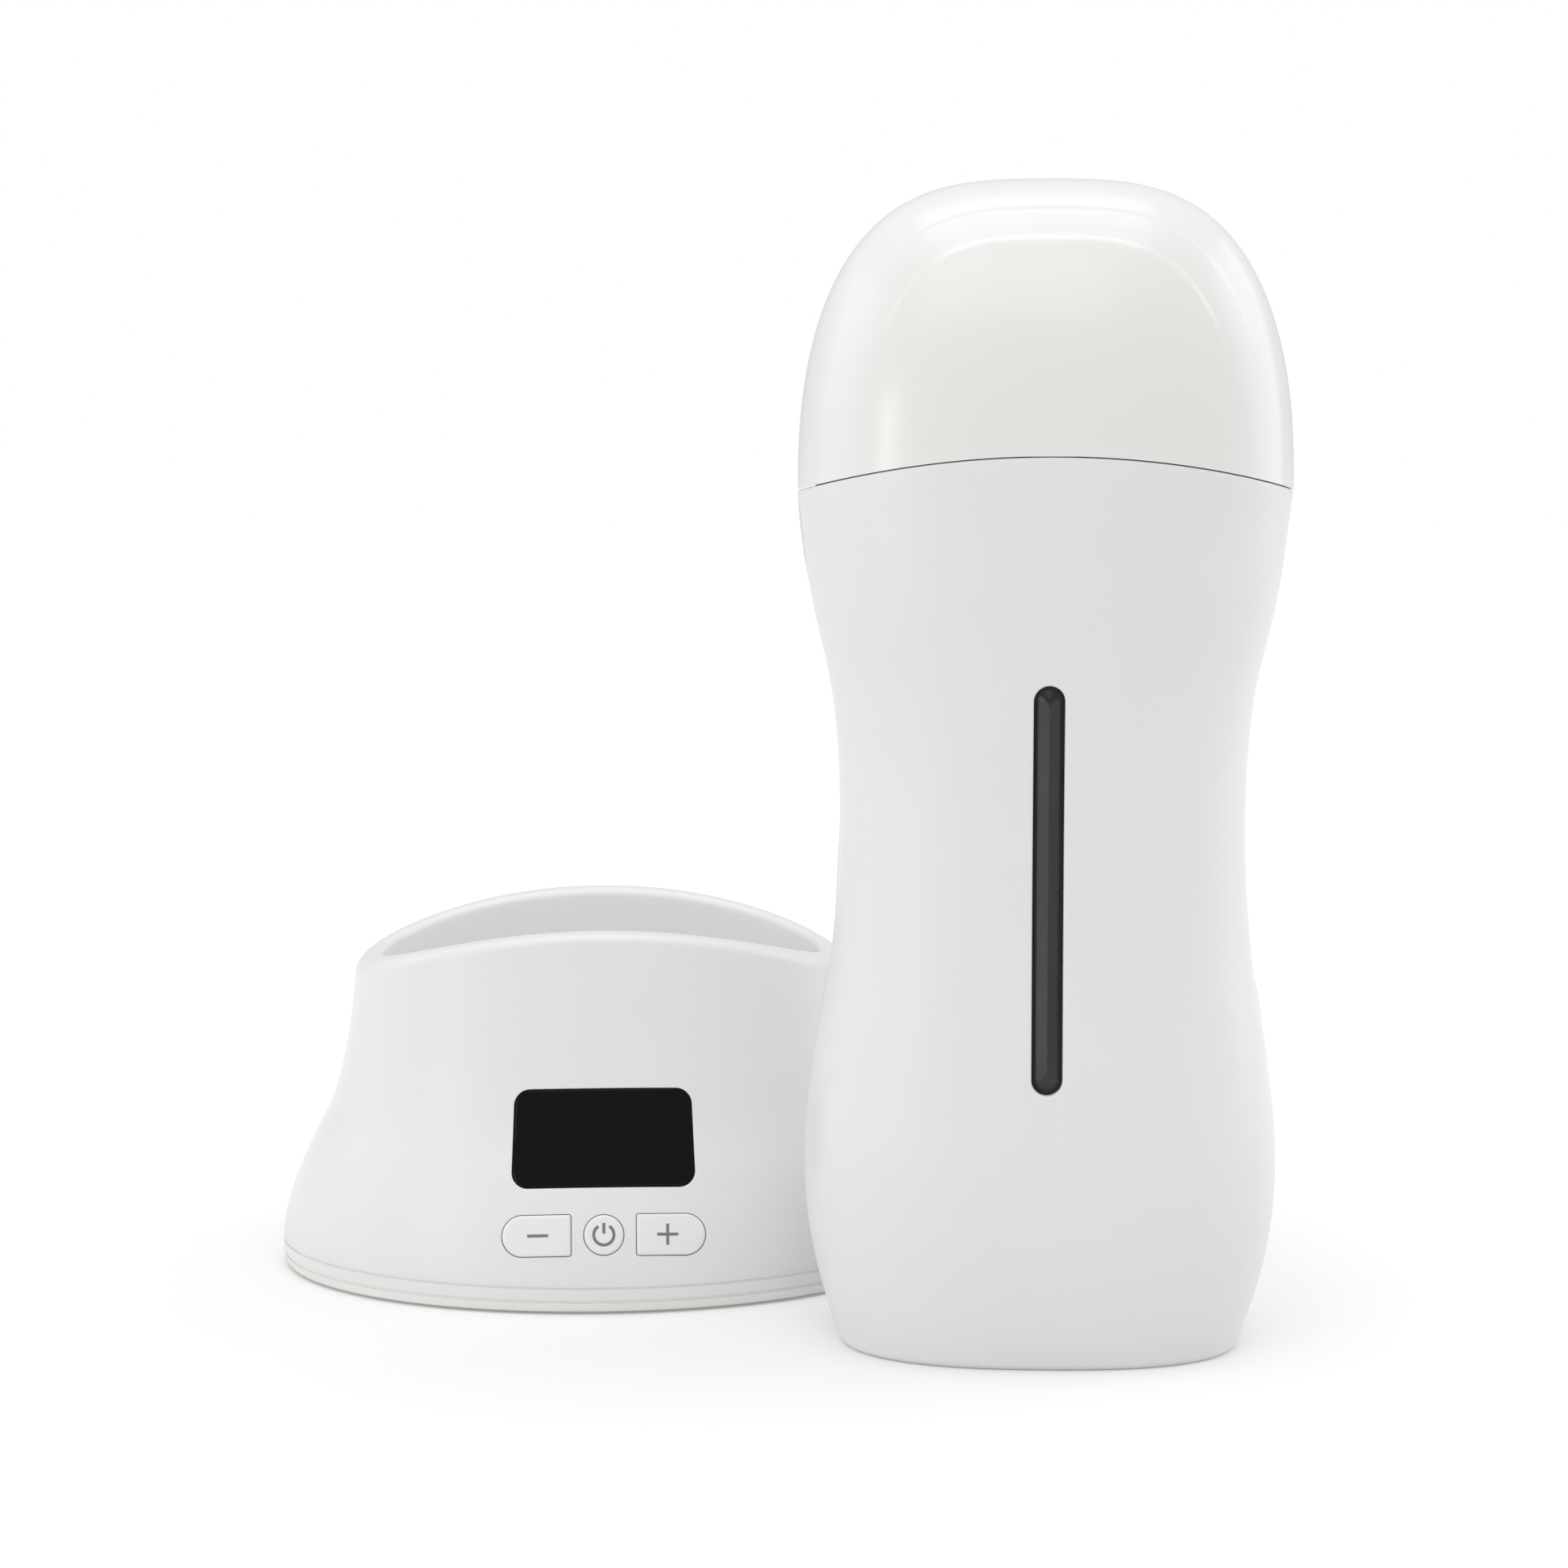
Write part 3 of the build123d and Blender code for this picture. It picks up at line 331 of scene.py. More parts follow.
# ======== flat outlines
def rounded_outline(corners, grow=0.0, step=0.9):
    """Outline round anticlockwise circles (x, y, radius), each grown, with its runs divided."""
    pairs = list(zip(corners, corners[1:] + corners[:1]))
    turns = [atan2(y2 - y1, x2 - x1) - pi / 2 + asin((r1 - r2) / hypot(x2 - x1, y2 - y1))
             for (x1, y1, r1), (x2, y2, r2) in pairs]
    arcs = []
    for (x, y, radius), start, end in zip(corners, turns[-1:] + turns, turns):
        span = (end - start) % (2 * pi)
        pieces = max(ARC_PIECES, ceil(radius * span / (ARC_STEP * step)))
        size = max(radius + grow, SMALLEST_CORNER)
        shift = (radius + grow - size) / cos(span / 2)
        x += shift * cos(start + span / 2)
        y += shift * sin(start + span / 2)
        bearings = [start + span * i / pieces for i in range(pieces + 1)]
        arcs.append([(x + size * cos(turn), y + size * sin(turn)) for turn in bearings])
    points = []
    for ((x1, y1, _), (x2, y2, _)), arc, following in zip(pairs, arcs, arcs[1:] + arcs[:1]):
        pieces = max(1, round(hypot(x2 - x1, y2 - y1) / step))
        points.extend(arc)
        points.extend(blend(arc[-1], following[0], i / pieces) for i in range(1, pieces))
    return points


def circle(x, y, radius, count=48):
    return [(x + radius * cos(2 * pi * i / count), y + radius * sin(2 * pi * i / count))
            for i in range(count)]


def display_loop(grow):
    """The window's outline on the panel, a little wider at its lower edge."""
    lean = (DISPLAY_BOTTOM_WIDTH - DISPLAY_TOP_WIDTH) / 2
    slant = hypot(lean, 2 * DISPLAY_HALF) / (2 * DISPLAY_HALF)
    corners = []
    for up in (DISPLAY_CORNER - DISPLAY_HALF, DISPLAY_HALF - DISPLAY_CORNER):
        edge = DISPLAY_BOTTOM_WIDTH / 2 - lean * (up + DISPLAY_HALF) / (2 * DISPLAY_HALF)
        corners.append((edge - DISPLAY_CORNER * slant, up, DISPLAY_CORNER))
    low, high = corners
    return rounded_outline([(-low[0], *low[1:]), low, high, (-high[0], *high[1:])], grow)


def plus_loop(grow):
    """The plus key's outline: a half circle on its outer side and small corners on its inner one."""
    outer = KEY_OUTER - KEY_SIZE / 2
    inner = KEY_INNER + KEY_CORNER
    half = KEY_SIZE / 2 - KEY_CORNER
    return rounded_outline([(outer, KEY_ROW, KEY_SIZE / 2), (inner, KEY_ROW + half, KEY_CORNER),
                            (inner, KEY_ROW - half, KEY_CORNER)], grow, 0.6)


def minus_loop(grow):
    return [(-x, y) for x, y in reversed(plus_loop(grow))]


def power_loop(grow):
    return circle(0, KEY_ROW, POWER_RADIUS + grow, 72)


def slot_loop(grow):
    """The sight slot's outline, in x and height."""
    radius = SLOT_WIDTH / 2
    return rounded_outline([(0, SLOT_LOW + radius, radius), (0, SLOT_HIGH - radius, radius)], grow, 1.0)


def inside(point, loop):
    """Whether a flat point lies in a closed loop."""
    x, y = point
    within = False
    for (ax, ay), (bx, by) in zip(loop, loop[1:] + loop[:1]):
        if (ay > y) != (by > y) and x < (bx - ax) * (y - ay) / (by - ay) + ax:
            within = not within
    return within


def triangulated(loops, free=()):
    """Points and triangles of the flat area that the loops bound, with free points in it."""
    points, edges = [], []
    for loop in loops:
        first = len(points)
        points.extend(loop)
        edges.extend((first + k, first + (k + 1) % len(loop)) for k in range(len(loop)))
    points.extend(free)
    found, _, triangles, *_ = delaunay_2d_cdt([Vector(p) for p in points], edges, [], 0, SAME_PLACE)
    flat = [(p[0], p[1]) for p in found]
    return flat, [triangle for triangle in triangles if area_of(triangle, flat) > SMALLEST_AREA]


def area_of(triangle, points):
    (ax, ay), (bx, by), (cx, cy) = (points[k] for k in triangle)
    return abs((bx - ax) * (cy - ay) - (by - ay) * (cx - ax)) / 2


def centre_of(triangle, points):
    return tuple(sum(points[k][axis] for k in triangle) / 3 for axis in (0, 1))


def outside_loops(triangles, points, loops):
    """The triangles whose centre lies in none of the loops."""
    return [t for t in triangles if not any(inside(centre_of(t, points), loop) for loop in loops)]


# ======== mesh building
class Mesh:
    """Collects points in millimetres and faces."""

    def __init__(self):
        self.points = []
        self.faces = []

    def ring(self, points):
        """Adds a row of points and returns their numbers."""
        first = len(self.points)
        self.points.extend(points)
        return list(range(first, len(self.points)))

    def strip(self, low, high, closed=True):
        """Joins two rows of equal length with quads."""
        count = len(low)
        for i in range(count if closed else count - 1):
            j = (i + 1) % count
            self.faces.append((low[i], low[j], high[j], high[i]))

    def strips(self, rows, closed=True):
        """Joins rows of points, each to the next, and returns the numbers of each row."""
        numbers = [self.ring(row) for row in rows]
        for low, high in zip(numbers, numbers[1:]):
            self.strip(low, high, closed)
        return numbers

    def patch(self, flat_points, triangles, place):
        """Adds a flat triangulation, with each point put in space by place."""
        row = self.ring([place(u, v) for u, v in flat_points])
        self.faces.extend(tuple(row[i] for i in triangle) for triangle in triangles)

    def filled(self, loop, place, spacing):
        """Fills a loop, with points of its own at a spacing."""
        left, right = min(x for x, _ in loop), max(x for x, _ in loop)
        low, high = min(y for _, y in loop), max(y for _, y in loop)
        free = []
        for i in range(int((right - left) / spacing) + 1):
            for j in range(int((high - low) / spacing) + 1):
                x, y = left + (i + 0.5) * spacing, low + (j + 0.5) * spacing
                near = min((x - a) ** 2 + (y - b) ** 2 for a, b in loop)
                if near > (SPACING_CLEARANCE * spacing) ** 2 and inside((x, y), loop):
                    free.append((x, y))
        self.patch(*triangulated([loop], free), place)

    def holed(self, row, holes, z):
        """A flat face at height z, with holes, inside a row whose last point repeats its first."""
        points, triangles = triangulated([[(x, y) for x, y, _ in row[:-1]]] + holes)
        self.patch(points, outside_loops(triangles, points, holes), lambda x, y: (x, y, z))


class Skin:
    """A surface of columns round an outline, between two heights for each column."""

    def __init__(self, sizes, angles, low, high, rows, inset=0.0):
        self.sizes, self.angles, self.rows, self.inset = sizes, angles, rows, inset
        self.columns = list(zip(angles, low, high))

    def place(self, column, row):
        """Point at a fractional column and row."""
        i = min(int(column), len(self.columns) - 2)
        angle, low, high = blend(self.columns[i], self.columns[i + 1], column - i)
        return skin_point(self.sizes, angle, low + (high - low) * row / self.rows, self.inset)

    def locate(self, point):
        """Fractional column and row of a point on the surface."""
        x, y, z = point
        angle = angle_of(x, y, *self.sizes(z, self.inset))
        i = min(max(bisect_right(self.angles, angle) - 1, 0), len(self.columns) - 2)
        part = (angle - self.angles[i]) / (self.angles[i + 1] - self.angles[i])
        _, low, high = blend(self.columns[i], self.columns[i + 1], part)
        return i + part, self.rows * (z - low) / (high - low)

    def fill(self, mesh, groups=()):
        """Adds the surface. A group is a list of holes near each other, and a hole is a list of
        loops of points on the surface: its edge, and free guides round it."""
        count = len(self.columns)
        grid = [mesh.ring([self.place(i, j) for i in range(count)]) for j in range(self.rows + 1)]
        cut = set()
        for group in groups:
            cut |= self.fill_round(mesh, [[[self.locate(p) for p in loop] for loop in hole]
                                          for hole in group])
        for j in range(self.rows):
            for i in range(count - 1):
                if (i, j) not in cut:
                    mesh.faces.append((grid[j][i], grid[j][i + 1], grid[j + 1][i + 1], grid[j + 1][i]))

    def fill_round(self, mesh, holes):
        """Triangles between a block of the grid and the holes in it; returns the block's cells."""
        near = [point for hole in holes for loop in hole for point in loop]
        left = max(int(min(u for u, _ in near)) - 1, 0)
        right = min(int(max(u for u, _ in near)) + 2, len(self.columns) - 1)
        bottom = max(int(min(v for _, v in near)) - 1, 0)
        top = min(int(max(v for _, v in near)) + 2, self.rows)
        border = ([(i, bottom) for i in range(left, right)] + [(right, j) for j in range(bottom, top)]
                  + [(i, top) for i in range(right, left, -1)]
                  + [(left, j) for j in range(top, bottom, -1)])
        edges = [hole[0] for hole in holes]
        free = [point for hole in holes for loop in hole[1:] for point in loop]
        for i in range(left + 1, right):
            for j in range(bottom + 1, top):
                clear = min((u - i) ** 2 + (v - j) ** 2 for u, v in near) > CELL_CLEARANCE
                if clear and not any(inside((i, j), edge) for edge in edges):
                    free.append((i, j))
        points, triangles = triangulated([border] + edges, free)
        mesh.patch(points, outside_loops(triangles, points, edges), self.place)
        return {(i, j) for i in range(left, right) for j in range(bottom, top)}


def base_axis():
    """Where the frame has the base's upright axis, in millimetres."""
    low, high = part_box("base_housing")
    return (low[0] + high[0]) / 2 / MM, (low[1] + high[1]) / 2 / MM


BASE_X, BASE_Y = base_axis()
UNITS = {"base": (BASE_X, BASE_Y, 0.0), "handpiece": (BASE_X + HAND_X, BASE_Y + HAND_Y, HAND_TURN)}


def new_object(name, data):
    """An object of the scene."""
    thing = bpy.data.objects.new(name, data)
    scene.collection.objects.link(thing)
    return thing


def weld(data):
    """Joins points that lie in one place, turns all faces outwards and drops empty faces."""
    work = bmesh.new()
    work.from_mesh(data)
    bmesh.ops.remove_doubles(work, verts=work.verts, dist=2e-6)
    bmesh.ops.dissolve_degenerate(work, edges=work.edges, dist=1e-7)
    bmesh.ops.recalc_face_normals(work, faces=work.faces)
    work.to_mesh(data)
    work.free()


def make_piece(name, mesh, material, unit, body, replaced=(), sharp=40.0):
    """Makes a smooth-shaded object in a unit's place, that rides on a body and replaces CAD nodes.
    Edges that turn by more than sharp, in degrees, stay sharp."""
    data = bpy.data.meshes.new(name)
    left, back, turn = UNITS[unit]
    c, s = cos(turn), sin(turn)
    data.from_pydata([((left + c * x - s * y) * MM, (back + s * x + c * y) * MM, z * MM)
                      for x, y, z in mesh.points], [], mesh.faces)
    weld(data)
    data.shade_smooth()
    data.set_sharp_from_angle(angle=radians(sharp))
    data.materials.append(material)
    piece = new_object(name, data)
    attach(piece, body)
    if replaced:
        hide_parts(*replaced)
    return piece


# ======== holes
# A hole is a function of its outline's growth and the skin's inset, and gives a loop on that skin.
def panel_hole(loop):
    """The hole in the control panel for a flat loop."""
    def hole(grow, inset):
        return [panel_point(x, up, inset) for x, up in loop(grow)]

    return hole


def inlet_hole(grow, inset):
    return [face_point(base_sizes, x, z, inset, 1) for x, z in circle(0, INLET_Z, INLET_HOLE + grow)]


def sight_hole(grow, inset):
    return [hand_face(x, z, inset) for x, z in slot_loop(grow)]


def guided(hole, edge, guides=(), inset=0.0):
    """A hole's edge and the guides round it, at distances outside the edge."""
    return [hole(edge + more, inset) for more in (0.0, *guides)]


def add_hole_side(mesh, hole, edge, wall):
    """A hole's rounded edge and its side through the wall."""
    rows = [hole(edge * grow, edge * inset) for inset, grow in rounding()]
    mesh.strips(rows + [hole(0.0, wall)])


# ======== base housing
def rim_rows(angles):
    """Rows over the rim, from the outer skin to the dock's skin."""
    r, turn = RIM_ROUNDING, rounding(8)
    across = [(r * into, 0.0, r * down) for into, down in turn]
    across += [(r * (1 - 2 * share), share, 0.0) for share in (0.25, 0.5, 0.75)]
    across += [(-r * into, 1.0, r * down) for into, down in reversed(turn)]
    rows = []
    for distance, share, drop in across:
        row = []
        for angle in angles:
            z = RIM_CREST
            for _ in range(SETTLING):
                outer, inner = skin_point(base_sizes, angle, z), skin_point(dock_sizes, angle, z)
                width = hypot(outer[0] - inner[0], outer[1] - inner[1])
                x, y = blend(outer[:2], inner[:2], share + distance / width)
                z = arch(x, RIM_CREST, RIM_RADIUS) - drop
            row.append((x, y, z))
        rows.append(row)
    return rows


def base_mesh():
    """Base housing: rim, outer and inner skin with the holes, lower edge, and the dock."""
    mesh = Mesh()
    angles = even_angles(BASE_WIDE, BASE_DEEP, MIDDLE_POWER, BASE_COLUMNS)
    count = len(angles)
    holes = [panel_hole(loop) for loop in (display_loop, minus_loop, power_loop, plus_loop)]
    rim = rim_rows(angles)
    mesh.strips(rim, closed=False)

    outer = Skin(base_sizes, angles, [RING_TOP + SEAM_EDGE] * count, heights(rim[0]), OUTER_ROWS)
    outer.fill(mesh, [[guided(hole, PANEL_EDGE, PANEL_GUIDES) for hole in holes],
                      [guided(inlet_hole, HOLE_EDGE, INLET_GUIDES)]])
    inner = Skin(base_sizes, angles, [RING_TOP] * count, [CAVITY_TOP] * count, CAVITY_ROWS, BASE_WALL)
    inner.fill(mesh, [[guided(hole, 0.0, PANEL_INNER_GUIDES, BASE_WALL) for hole in holes],
                      [guided(inlet_hole, 0.0, (), BASE_WALL)]])
    for hole in holes:
        add_hole_side(mesh, hole, PANEL_EDGE, BASE_WALL)
    add_hole_side(mesh, inlet_hole, HOLE_EDGE, BASE_WALL)

    lower_edge = [skin_row(base_sizes, angles, RING_TOP + SEAM_EDGE * up, SEAM_EDGE * into)
                  for into, up in rounding(4)]
    mesh.strips(lower_edge + [skin_row(base_sizes, angles, RING_TOP, BASE_WALL)], closed=False)
    mesh.strips([skin_row(base_sizes, angles, CAVITY_TOP, BASE_WALL),
                 skin_row(dock_sizes, angles, CAVITY_TOP, -DOCK_WALL)], closed=False)
    add_dock(mesh, angles, rim[-1])
    return mesh


def add_dock(mesh, angles, mouth):
    """The dock's inner skin from its mouth to the floor, the floor with two holes, and its outside."""
    count = len(angles)
    well = Skin(dock_sizes, angles, [DOCK_FLOOR + DOCK_FILLET] * count, heights(mouth), WELL_ROWS)
    well.fill(mesh)
    fillet = [skin_row(dock_sizes, angles, DOCK_FLOOR + DOCK_FILLET * up, DOCK_FILLET * into)
              for into, up in rounding()]
    mesh.strips(fillet, closed=False)
    holes = [circle(side * CONTACT_X, 0, CONTACT_HOLE, 32) for side in (-1, 1)]
    mesh.holed(fillet[-1], holes, DOCK_FLOOR)
    mesh.holed(skin_row(dock_sizes, angles, DOCK_FLOOR_UNDER, -DOCK_WALL), holes, DOCK_FLOOR_UNDER)
    for hole in holes:
        mesh.strips([[(x, y, z) for x, y in hole] for z in (DOCK_FLOOR_UNDER, DOCK_FLOOR)])
    outside = Skin(dock_sizes, angles, [DOCK_FLOOR_UNDER] * count, [CAVITY_TOP] * count, DOCK_ROWS,
                   -DOCK_WALL)
    outside.fill(mesh)


# ======== keys, their signs, and display
def insert_mesh(loop, gap, proud, edge_in, edge_down, back, spacing):
    """A panel insert: its face follows the base, with a rounded edge, and its back is flat."""
    mesh = Mesh()
    face = loop(-gap - edge_in - FACE_BORDER)
    rows = [[panel_point(x, up, -proud) for x, up in face]]
    for down, into in rounding(6):
        outline = loop(-gap - edge_in * into)
        rows.append([panel_point(x, up, edge_down * down - proud) for x, up in outline])
    rows.append([on_panel(x, up, -back) for x, up in loop(-gap)])
    mesh.strips(rows)
    mesh.filled(face, lambda x, up: panel_point(x, up, -proud), spacing)
    mesh.patch(*triangulated([loop(-gap)]), lambda x, up: on_panel(x, up, -back))
    return mesh


def ribbon(mesh, path):
    """A printed stroke along a path on a key's face."""
    half = SIGN_STROKE / 2
    corners = ((-half, SIGN_PROUD), (half, SIGN_PROUD), (half, -SIGN_SUNK), (-half, -SIGN_SUNK))
    rows = [[] for _ in corners]
    for i, (x, up) in enumerate(path):
        ahead, behind = path[min(i + 1, len(path) - 1)], path[max(i - 1, 0)]
        run = hypot(ahead[0] - behind[0], ahead[1] - behind[1])
        across = (behind[1] - ahead[1]) / run, (ahead[0] - behind[0]) / run
        for row, (side, lift) in zip(rows, corners):
            row.append(panel_point(x + side * across[0], up + side * across[1], -KEY_PROUD - lift))
    numbers = [mesh.ring(row) for row in rows]
    for a, b in zip(numbers, numbers[1:] + numbers[:1]):
        mesh.strip(a, b, closed=False)
    for end in (0, -1):
        mesh.faces.append(tuple(row[end] for row in numbers))


def stroke(start, end, pieces=8):
    return [blend(start, end, i / pieces) for i in range(pieces + 1)]


def key_signs():
    """The paths of each key's sign, about the middle of the row of keys."""
    half, edge = SIGN_HALF, SIGN_STROKE / 2
    pieces = 40
    turns = [POWER_GAP + (2 * pi - 2 * POWER_GAP) * i / pieces for i in range(pieces + 1)]
    low, high = POWER_BAR
    return {
        "minus": [stroke((MINUS_X - half, 0), (MINUS_X + half, 0))],
        "power": [[(POWER_RING * sin(turn), POWER_RING * cos(turn)) for turn in turns],
                  stroke((0, low), (0, high))],
        "plus": [stroke((PLUS_X - half, 0), (PLUS_X + half, 0)),
                 stroke((PLUS_X, edge), (PLUS_X, half)), stroke((PLUS_X, -half), (PLUS_X, -edge))],
    }


def add_keys(materials):
    signs = key_signs()
    for name, loop in (("minus", minus_loop), ("power", power_loop), ("plus", plus_loop)):
        mesh = insert_mesh(loop, KEY_GAP, KEY_PROUD, KEY_EDGE_IN, KEY_EDGE_DOWN, KEY_BACK, KEY_SPACING)
        make_piece(f"key_{name}_cap", mesh, materials["key_white"], "base", f"key_{name}",
                   (f"button_{name}",), 60)
        sign = Mesh()
        for path in signs[name]:
            ribbon(sign, [(x, KEY_ROW + up) for x, up in path])
        make_piece(f"key_{name}_sign", sign, materials["print_grey"], "base", f"key_{name}")


def add_display(materials):
    mesh = insert_mesh(display_loop, INSERT_GAP, 0.0, WINDOW_EDGE_IN, WINDOW_EDGE_DOWN, WINDOW_BACK,
                       WINDOW_SPACING)
    make_piece("display_glass", mesh, materials["black_gloss"], "base", "base",
               ("display_window",), 50)


# ======== handpiece
def half_angles():
    """Angles round the front half of the handpiece, from groove to groove."""
    corner = asin((HALVES_GROOVE / SHOULDER_DEEP) ** (UPPER_POWER / 2))
    angles = [angle for angle in even_angles(BULGE_WIDE, BULGE_DEEP, UPPER_POWER, HAND_COLUMNS)
              if pi + 2 * corner < angle < 2 * pi - 2 * corner]
    return [pi + corner] + angles + [2 * pi - corner]


def front_shell_mesh():
    """Front half of the body, with the sight slot and a fine groove where the halves meet."""
    mesh = Mesh()
    angles = half_angles()
    count = len(angles)
    crest = SEAM_CREST - SEAM_GAP
    top_rows = [seam_row(angles, SEAM_EDGE * into, crest - SEAM_EDGE * down)
                for into, down in rounding()]
    top_rows.append(seam_row(angles, SHELL_WALL, crest))
    low_rows = [skin_row(hand_sizes, angles, FOOT_EDGE * up, FOOT_EDGE * into)
                for into, up in rounding(6)]
    low_rows.append(skin_row(hand_sizes, angles, 0, SHELL_WALL))
    mesh.strips(top_rows, closed=False)
    mesh.strips(low_rows, closed=False)

    outer = Skin(hand_sizes, angles, [FOOT_EDGE] * count, heights(top_rows[0]), SHELL_ROWS)
    outer.fill(mesh, [[guided(sight_hole, HOLE_EDGE, SIGHT_GUIDES)]])
    inner = Skin(hand_sizes, angles, [0.0] * count, heights(top_rows[-1]), SHELL_INNER_ROWS, SHELL_WALL)
    inner.fill(mesh, [[guided(sight_hole, 0.0, (), SHELL_WALL)]])
    add_hole_side(mesh, sight_hole, HOLE_EDGE, SHELL_WALL)
    close_halves(mesh, outer, inner, top_rows, low_rows)
    return mesh


def close_halves(mesh, outer, inner, top_rows, low_rows):
    """The faces where the two halves meet, at each end of the half outline."""
    for end in (0, -1):
        column = end % len(outer.columns)
        edge = [row[end] for row in reversed(low_rows[:-1])]
        edge += [outer.place(column, j) for j in range(1, outer.rows)]
        edge += [row[end] for row in top_rows[:-1]]
        back = [inner.place(column, j) for j in range(inner.rows + 1)]
        sign = copysign(1, edge[0][0])
        line = [(x - sign * HALVES_GROOVE, 0.0, z) for x, _, z in edge]
        inside_line = [(x, 0.0, z) for x, _, z in back]
        mesh.strips([edge, line], closed=False)
        mesh.strips([back, inside_line], closed=False)
        flat = [(x, z) for x, _, z in line] + [(x, z) for x, _, z in reversed(inside_line)]
        points, triangles = triangulated([flat])
        kept = [t for t in triangles if inside(centre_of(t, points), flat)]
        mesh.patch(points, kept, lambda x, z: (x, 0.0, z))
        for k in (0, -1):
            mesh.faces.append(tuple(mesh.ring([edge[k], line[k], inside_line[k], back[k]])))


def sight_mesh():
    """Smoked bar with two long facets that meet on a ridge."""
    mesh = Mesh()
    radius = SLOT_WIDTH / 2
    low, high = SLOT_LOW + radius, SLOT_HIGH - radius
    outline = slot_loop(-INSERT_GAP)
    for edge_inset, ridge_inset in ((SIGHT_EDGE_DOWN, SIGHT_RIDGE_DOWN), (SHELL_WALL, SHELL_WALL)):
        rows = []
        for share in (0.0, 0.33, 0.66, 1.0):
            inset = edge_inset + (ridge_inset - edge_inset) * share
            rows.append([hand_face(x * (1 - share), z + (min(max(z, low), high) - z) * share, inset)
                         for x, z in outline])
        mesh.strips(rows)
    mesh.strips([[hand_face(x, z, inset) for x, z in outline]
                 for inset in (SIGHT_EDGE_DOWN, SHELL_WALL)])
    return mesh


def cap_path(margin, inset):
    """(x, z) up one side, a margin inside the cap's silhouette, from just below the shoulder."""
    path = []
    for below in (2.0, 1.5, 1.0, 0.5):
        z = SHOULDER_Z - below
        path.append((body_wide(z) - inset - margin, z))
    wide = SHOULDER_WIDE - inset - margin
    rise = HAND_TOP - SHOULDER_Z - inset - margin
    fine = 240
    for step in range(fine + 1):
        turn = pi / 2 * step / fine
        path.append((wide * max(cos(turn), 0.0) ** (2 / DOME_WIDTH_POWER),
                     SHOULDER_Z + rise * sin(turn) ** (2 / DOME_HEIGHT_POWER)))
    return path


def above_seam(path):
    """The part of a rising path above the seam, with a first point on it."""
    over = [z - arch(x, SEAM_CREST, SEAM_RADIUS) for x, z in path]
    start = next(i for i, height in enumerate(over) if height > 0)
    share = over[start - 1] / (over[start - 1] - over[start])
    return [blend(path[start - 1], path[start], share)] + path[start:]


def cap_ring(margin, inset):
    """(x, z) of an arch a margin inside the cap's silhouette, from the seam round to the seam."""
    path = above_seam(cap_path(margin, inset))
    half = [blend(path[i], path[i + 1], part) for i, part in even_places(path, CAP_PIECES)]
    return half + [path[-1]] + [(-x, z) for x, z in reversed(half)]


def cap_point(x, z, margin, inset, side):
    """Point of the cap's front or rear. The middle of its outer skin is the highest step, with two
    lower ones outside it that fade towards the seam and the silhouette, where front and rear meet."""
    x, y, z = hand_face(x, z, inset, side)
    if margin == 0:
        y = 0.0
    if inset == 0:
        fade = eased(z, *CAP_STEP_HEIGHTS) * eased(margin, *CAP_STEP_MARGINS)
        for place, rise in CAP_STEPS:
            outside = 1 - eased(margin, place - CAP_STEP_WIDTH / 2, place + CAP_STEP_WIDTH / 2)
            y -= side * rise * fade * outside
    return x, y, z


def cap_margins():
    """Margins of the rings: close at the silhouette, where the surface turns, and at the steps."""
    crowded, crowding, rings, step_rings = 4.7, 2.5, 16, 8
    margins = [crowded * (k / rings) ** crowding for k in range(rings + 1)]
    for place, _ in CAP_STEPS:
        margins += [place + CAP_STEP_WIDTH * (k / step_rings - 0.5) for k in range(step_rings + 1)]
    margins += [7.0, 8.0, 9.0]
    inner, spacing = 12.0, 1.6
    margins += [inner + spacing * k for k in range(16)]
    return sorted(margins)


def cap_skin(mesh, margins, inset, side):
    """The cap's outer or inner skin on one side; returns the numbers of its rings."""
    rings = mesh.strips([[cap_point(x, z, margin, inset, side) for x, z in cap_ring(margin, inset)]
                         for margin in margins], closed=False)
    last = rings[-1]
    for i in range(CAP_PIECES):
        mesh.faces.append((last[i], last[i + 1], last[-2 - i], last[-1 - i]))
    return rings


def cap_mesh():
    """The cap: front and rear, each an outer and an inner skin joined along the seam."""
    mesh = Mesh()
    margins = cap_margins()
    for side in (-1, 1):
        skins = [cap_skin(mesh, margins, inset, side) for inset in (0.0, CAP_WALL)]
        for end in (0, -1):
            outer, inner = [[ring[end] for ring in rings] for rings in skins]
            mesh.strip(outer, inner, closed=False)
        outer, inner = [(rings[-1][0], rings[-1][-1]) for rings in skins]
        mesh.faces.append((outer[0], outer[1], inner[1], inner[0]))
    return mesh


def add_cap(materials):
    """The cap, with painted shade as the attribute panel: it stands for the darker inside seen
    through the frosted plastic.
    """
    piece = make_piece("frosted_dome", cap_mesh(), materials["frosted_cap"], "handpiece", "cap",
                       ("cap",), 45)
    # panel holds painted shade: the darker inside seen through the frosted cap
    shade_layer = piece.data.attributes.new("panel", "FLOAT", "POINT")
    left, back, turn = UNITS["handpiece"]
    for index, vertex in enumerate(piece.data.vertices):
        across = vertex.co.x / MM - left, vertex.co.y / MM - back
        x = across[0] * cos(turn) + across[1] * sin(turn)
        shade_layer.data[index].value = seen_through_shade(x, vertex.co.z / MM)


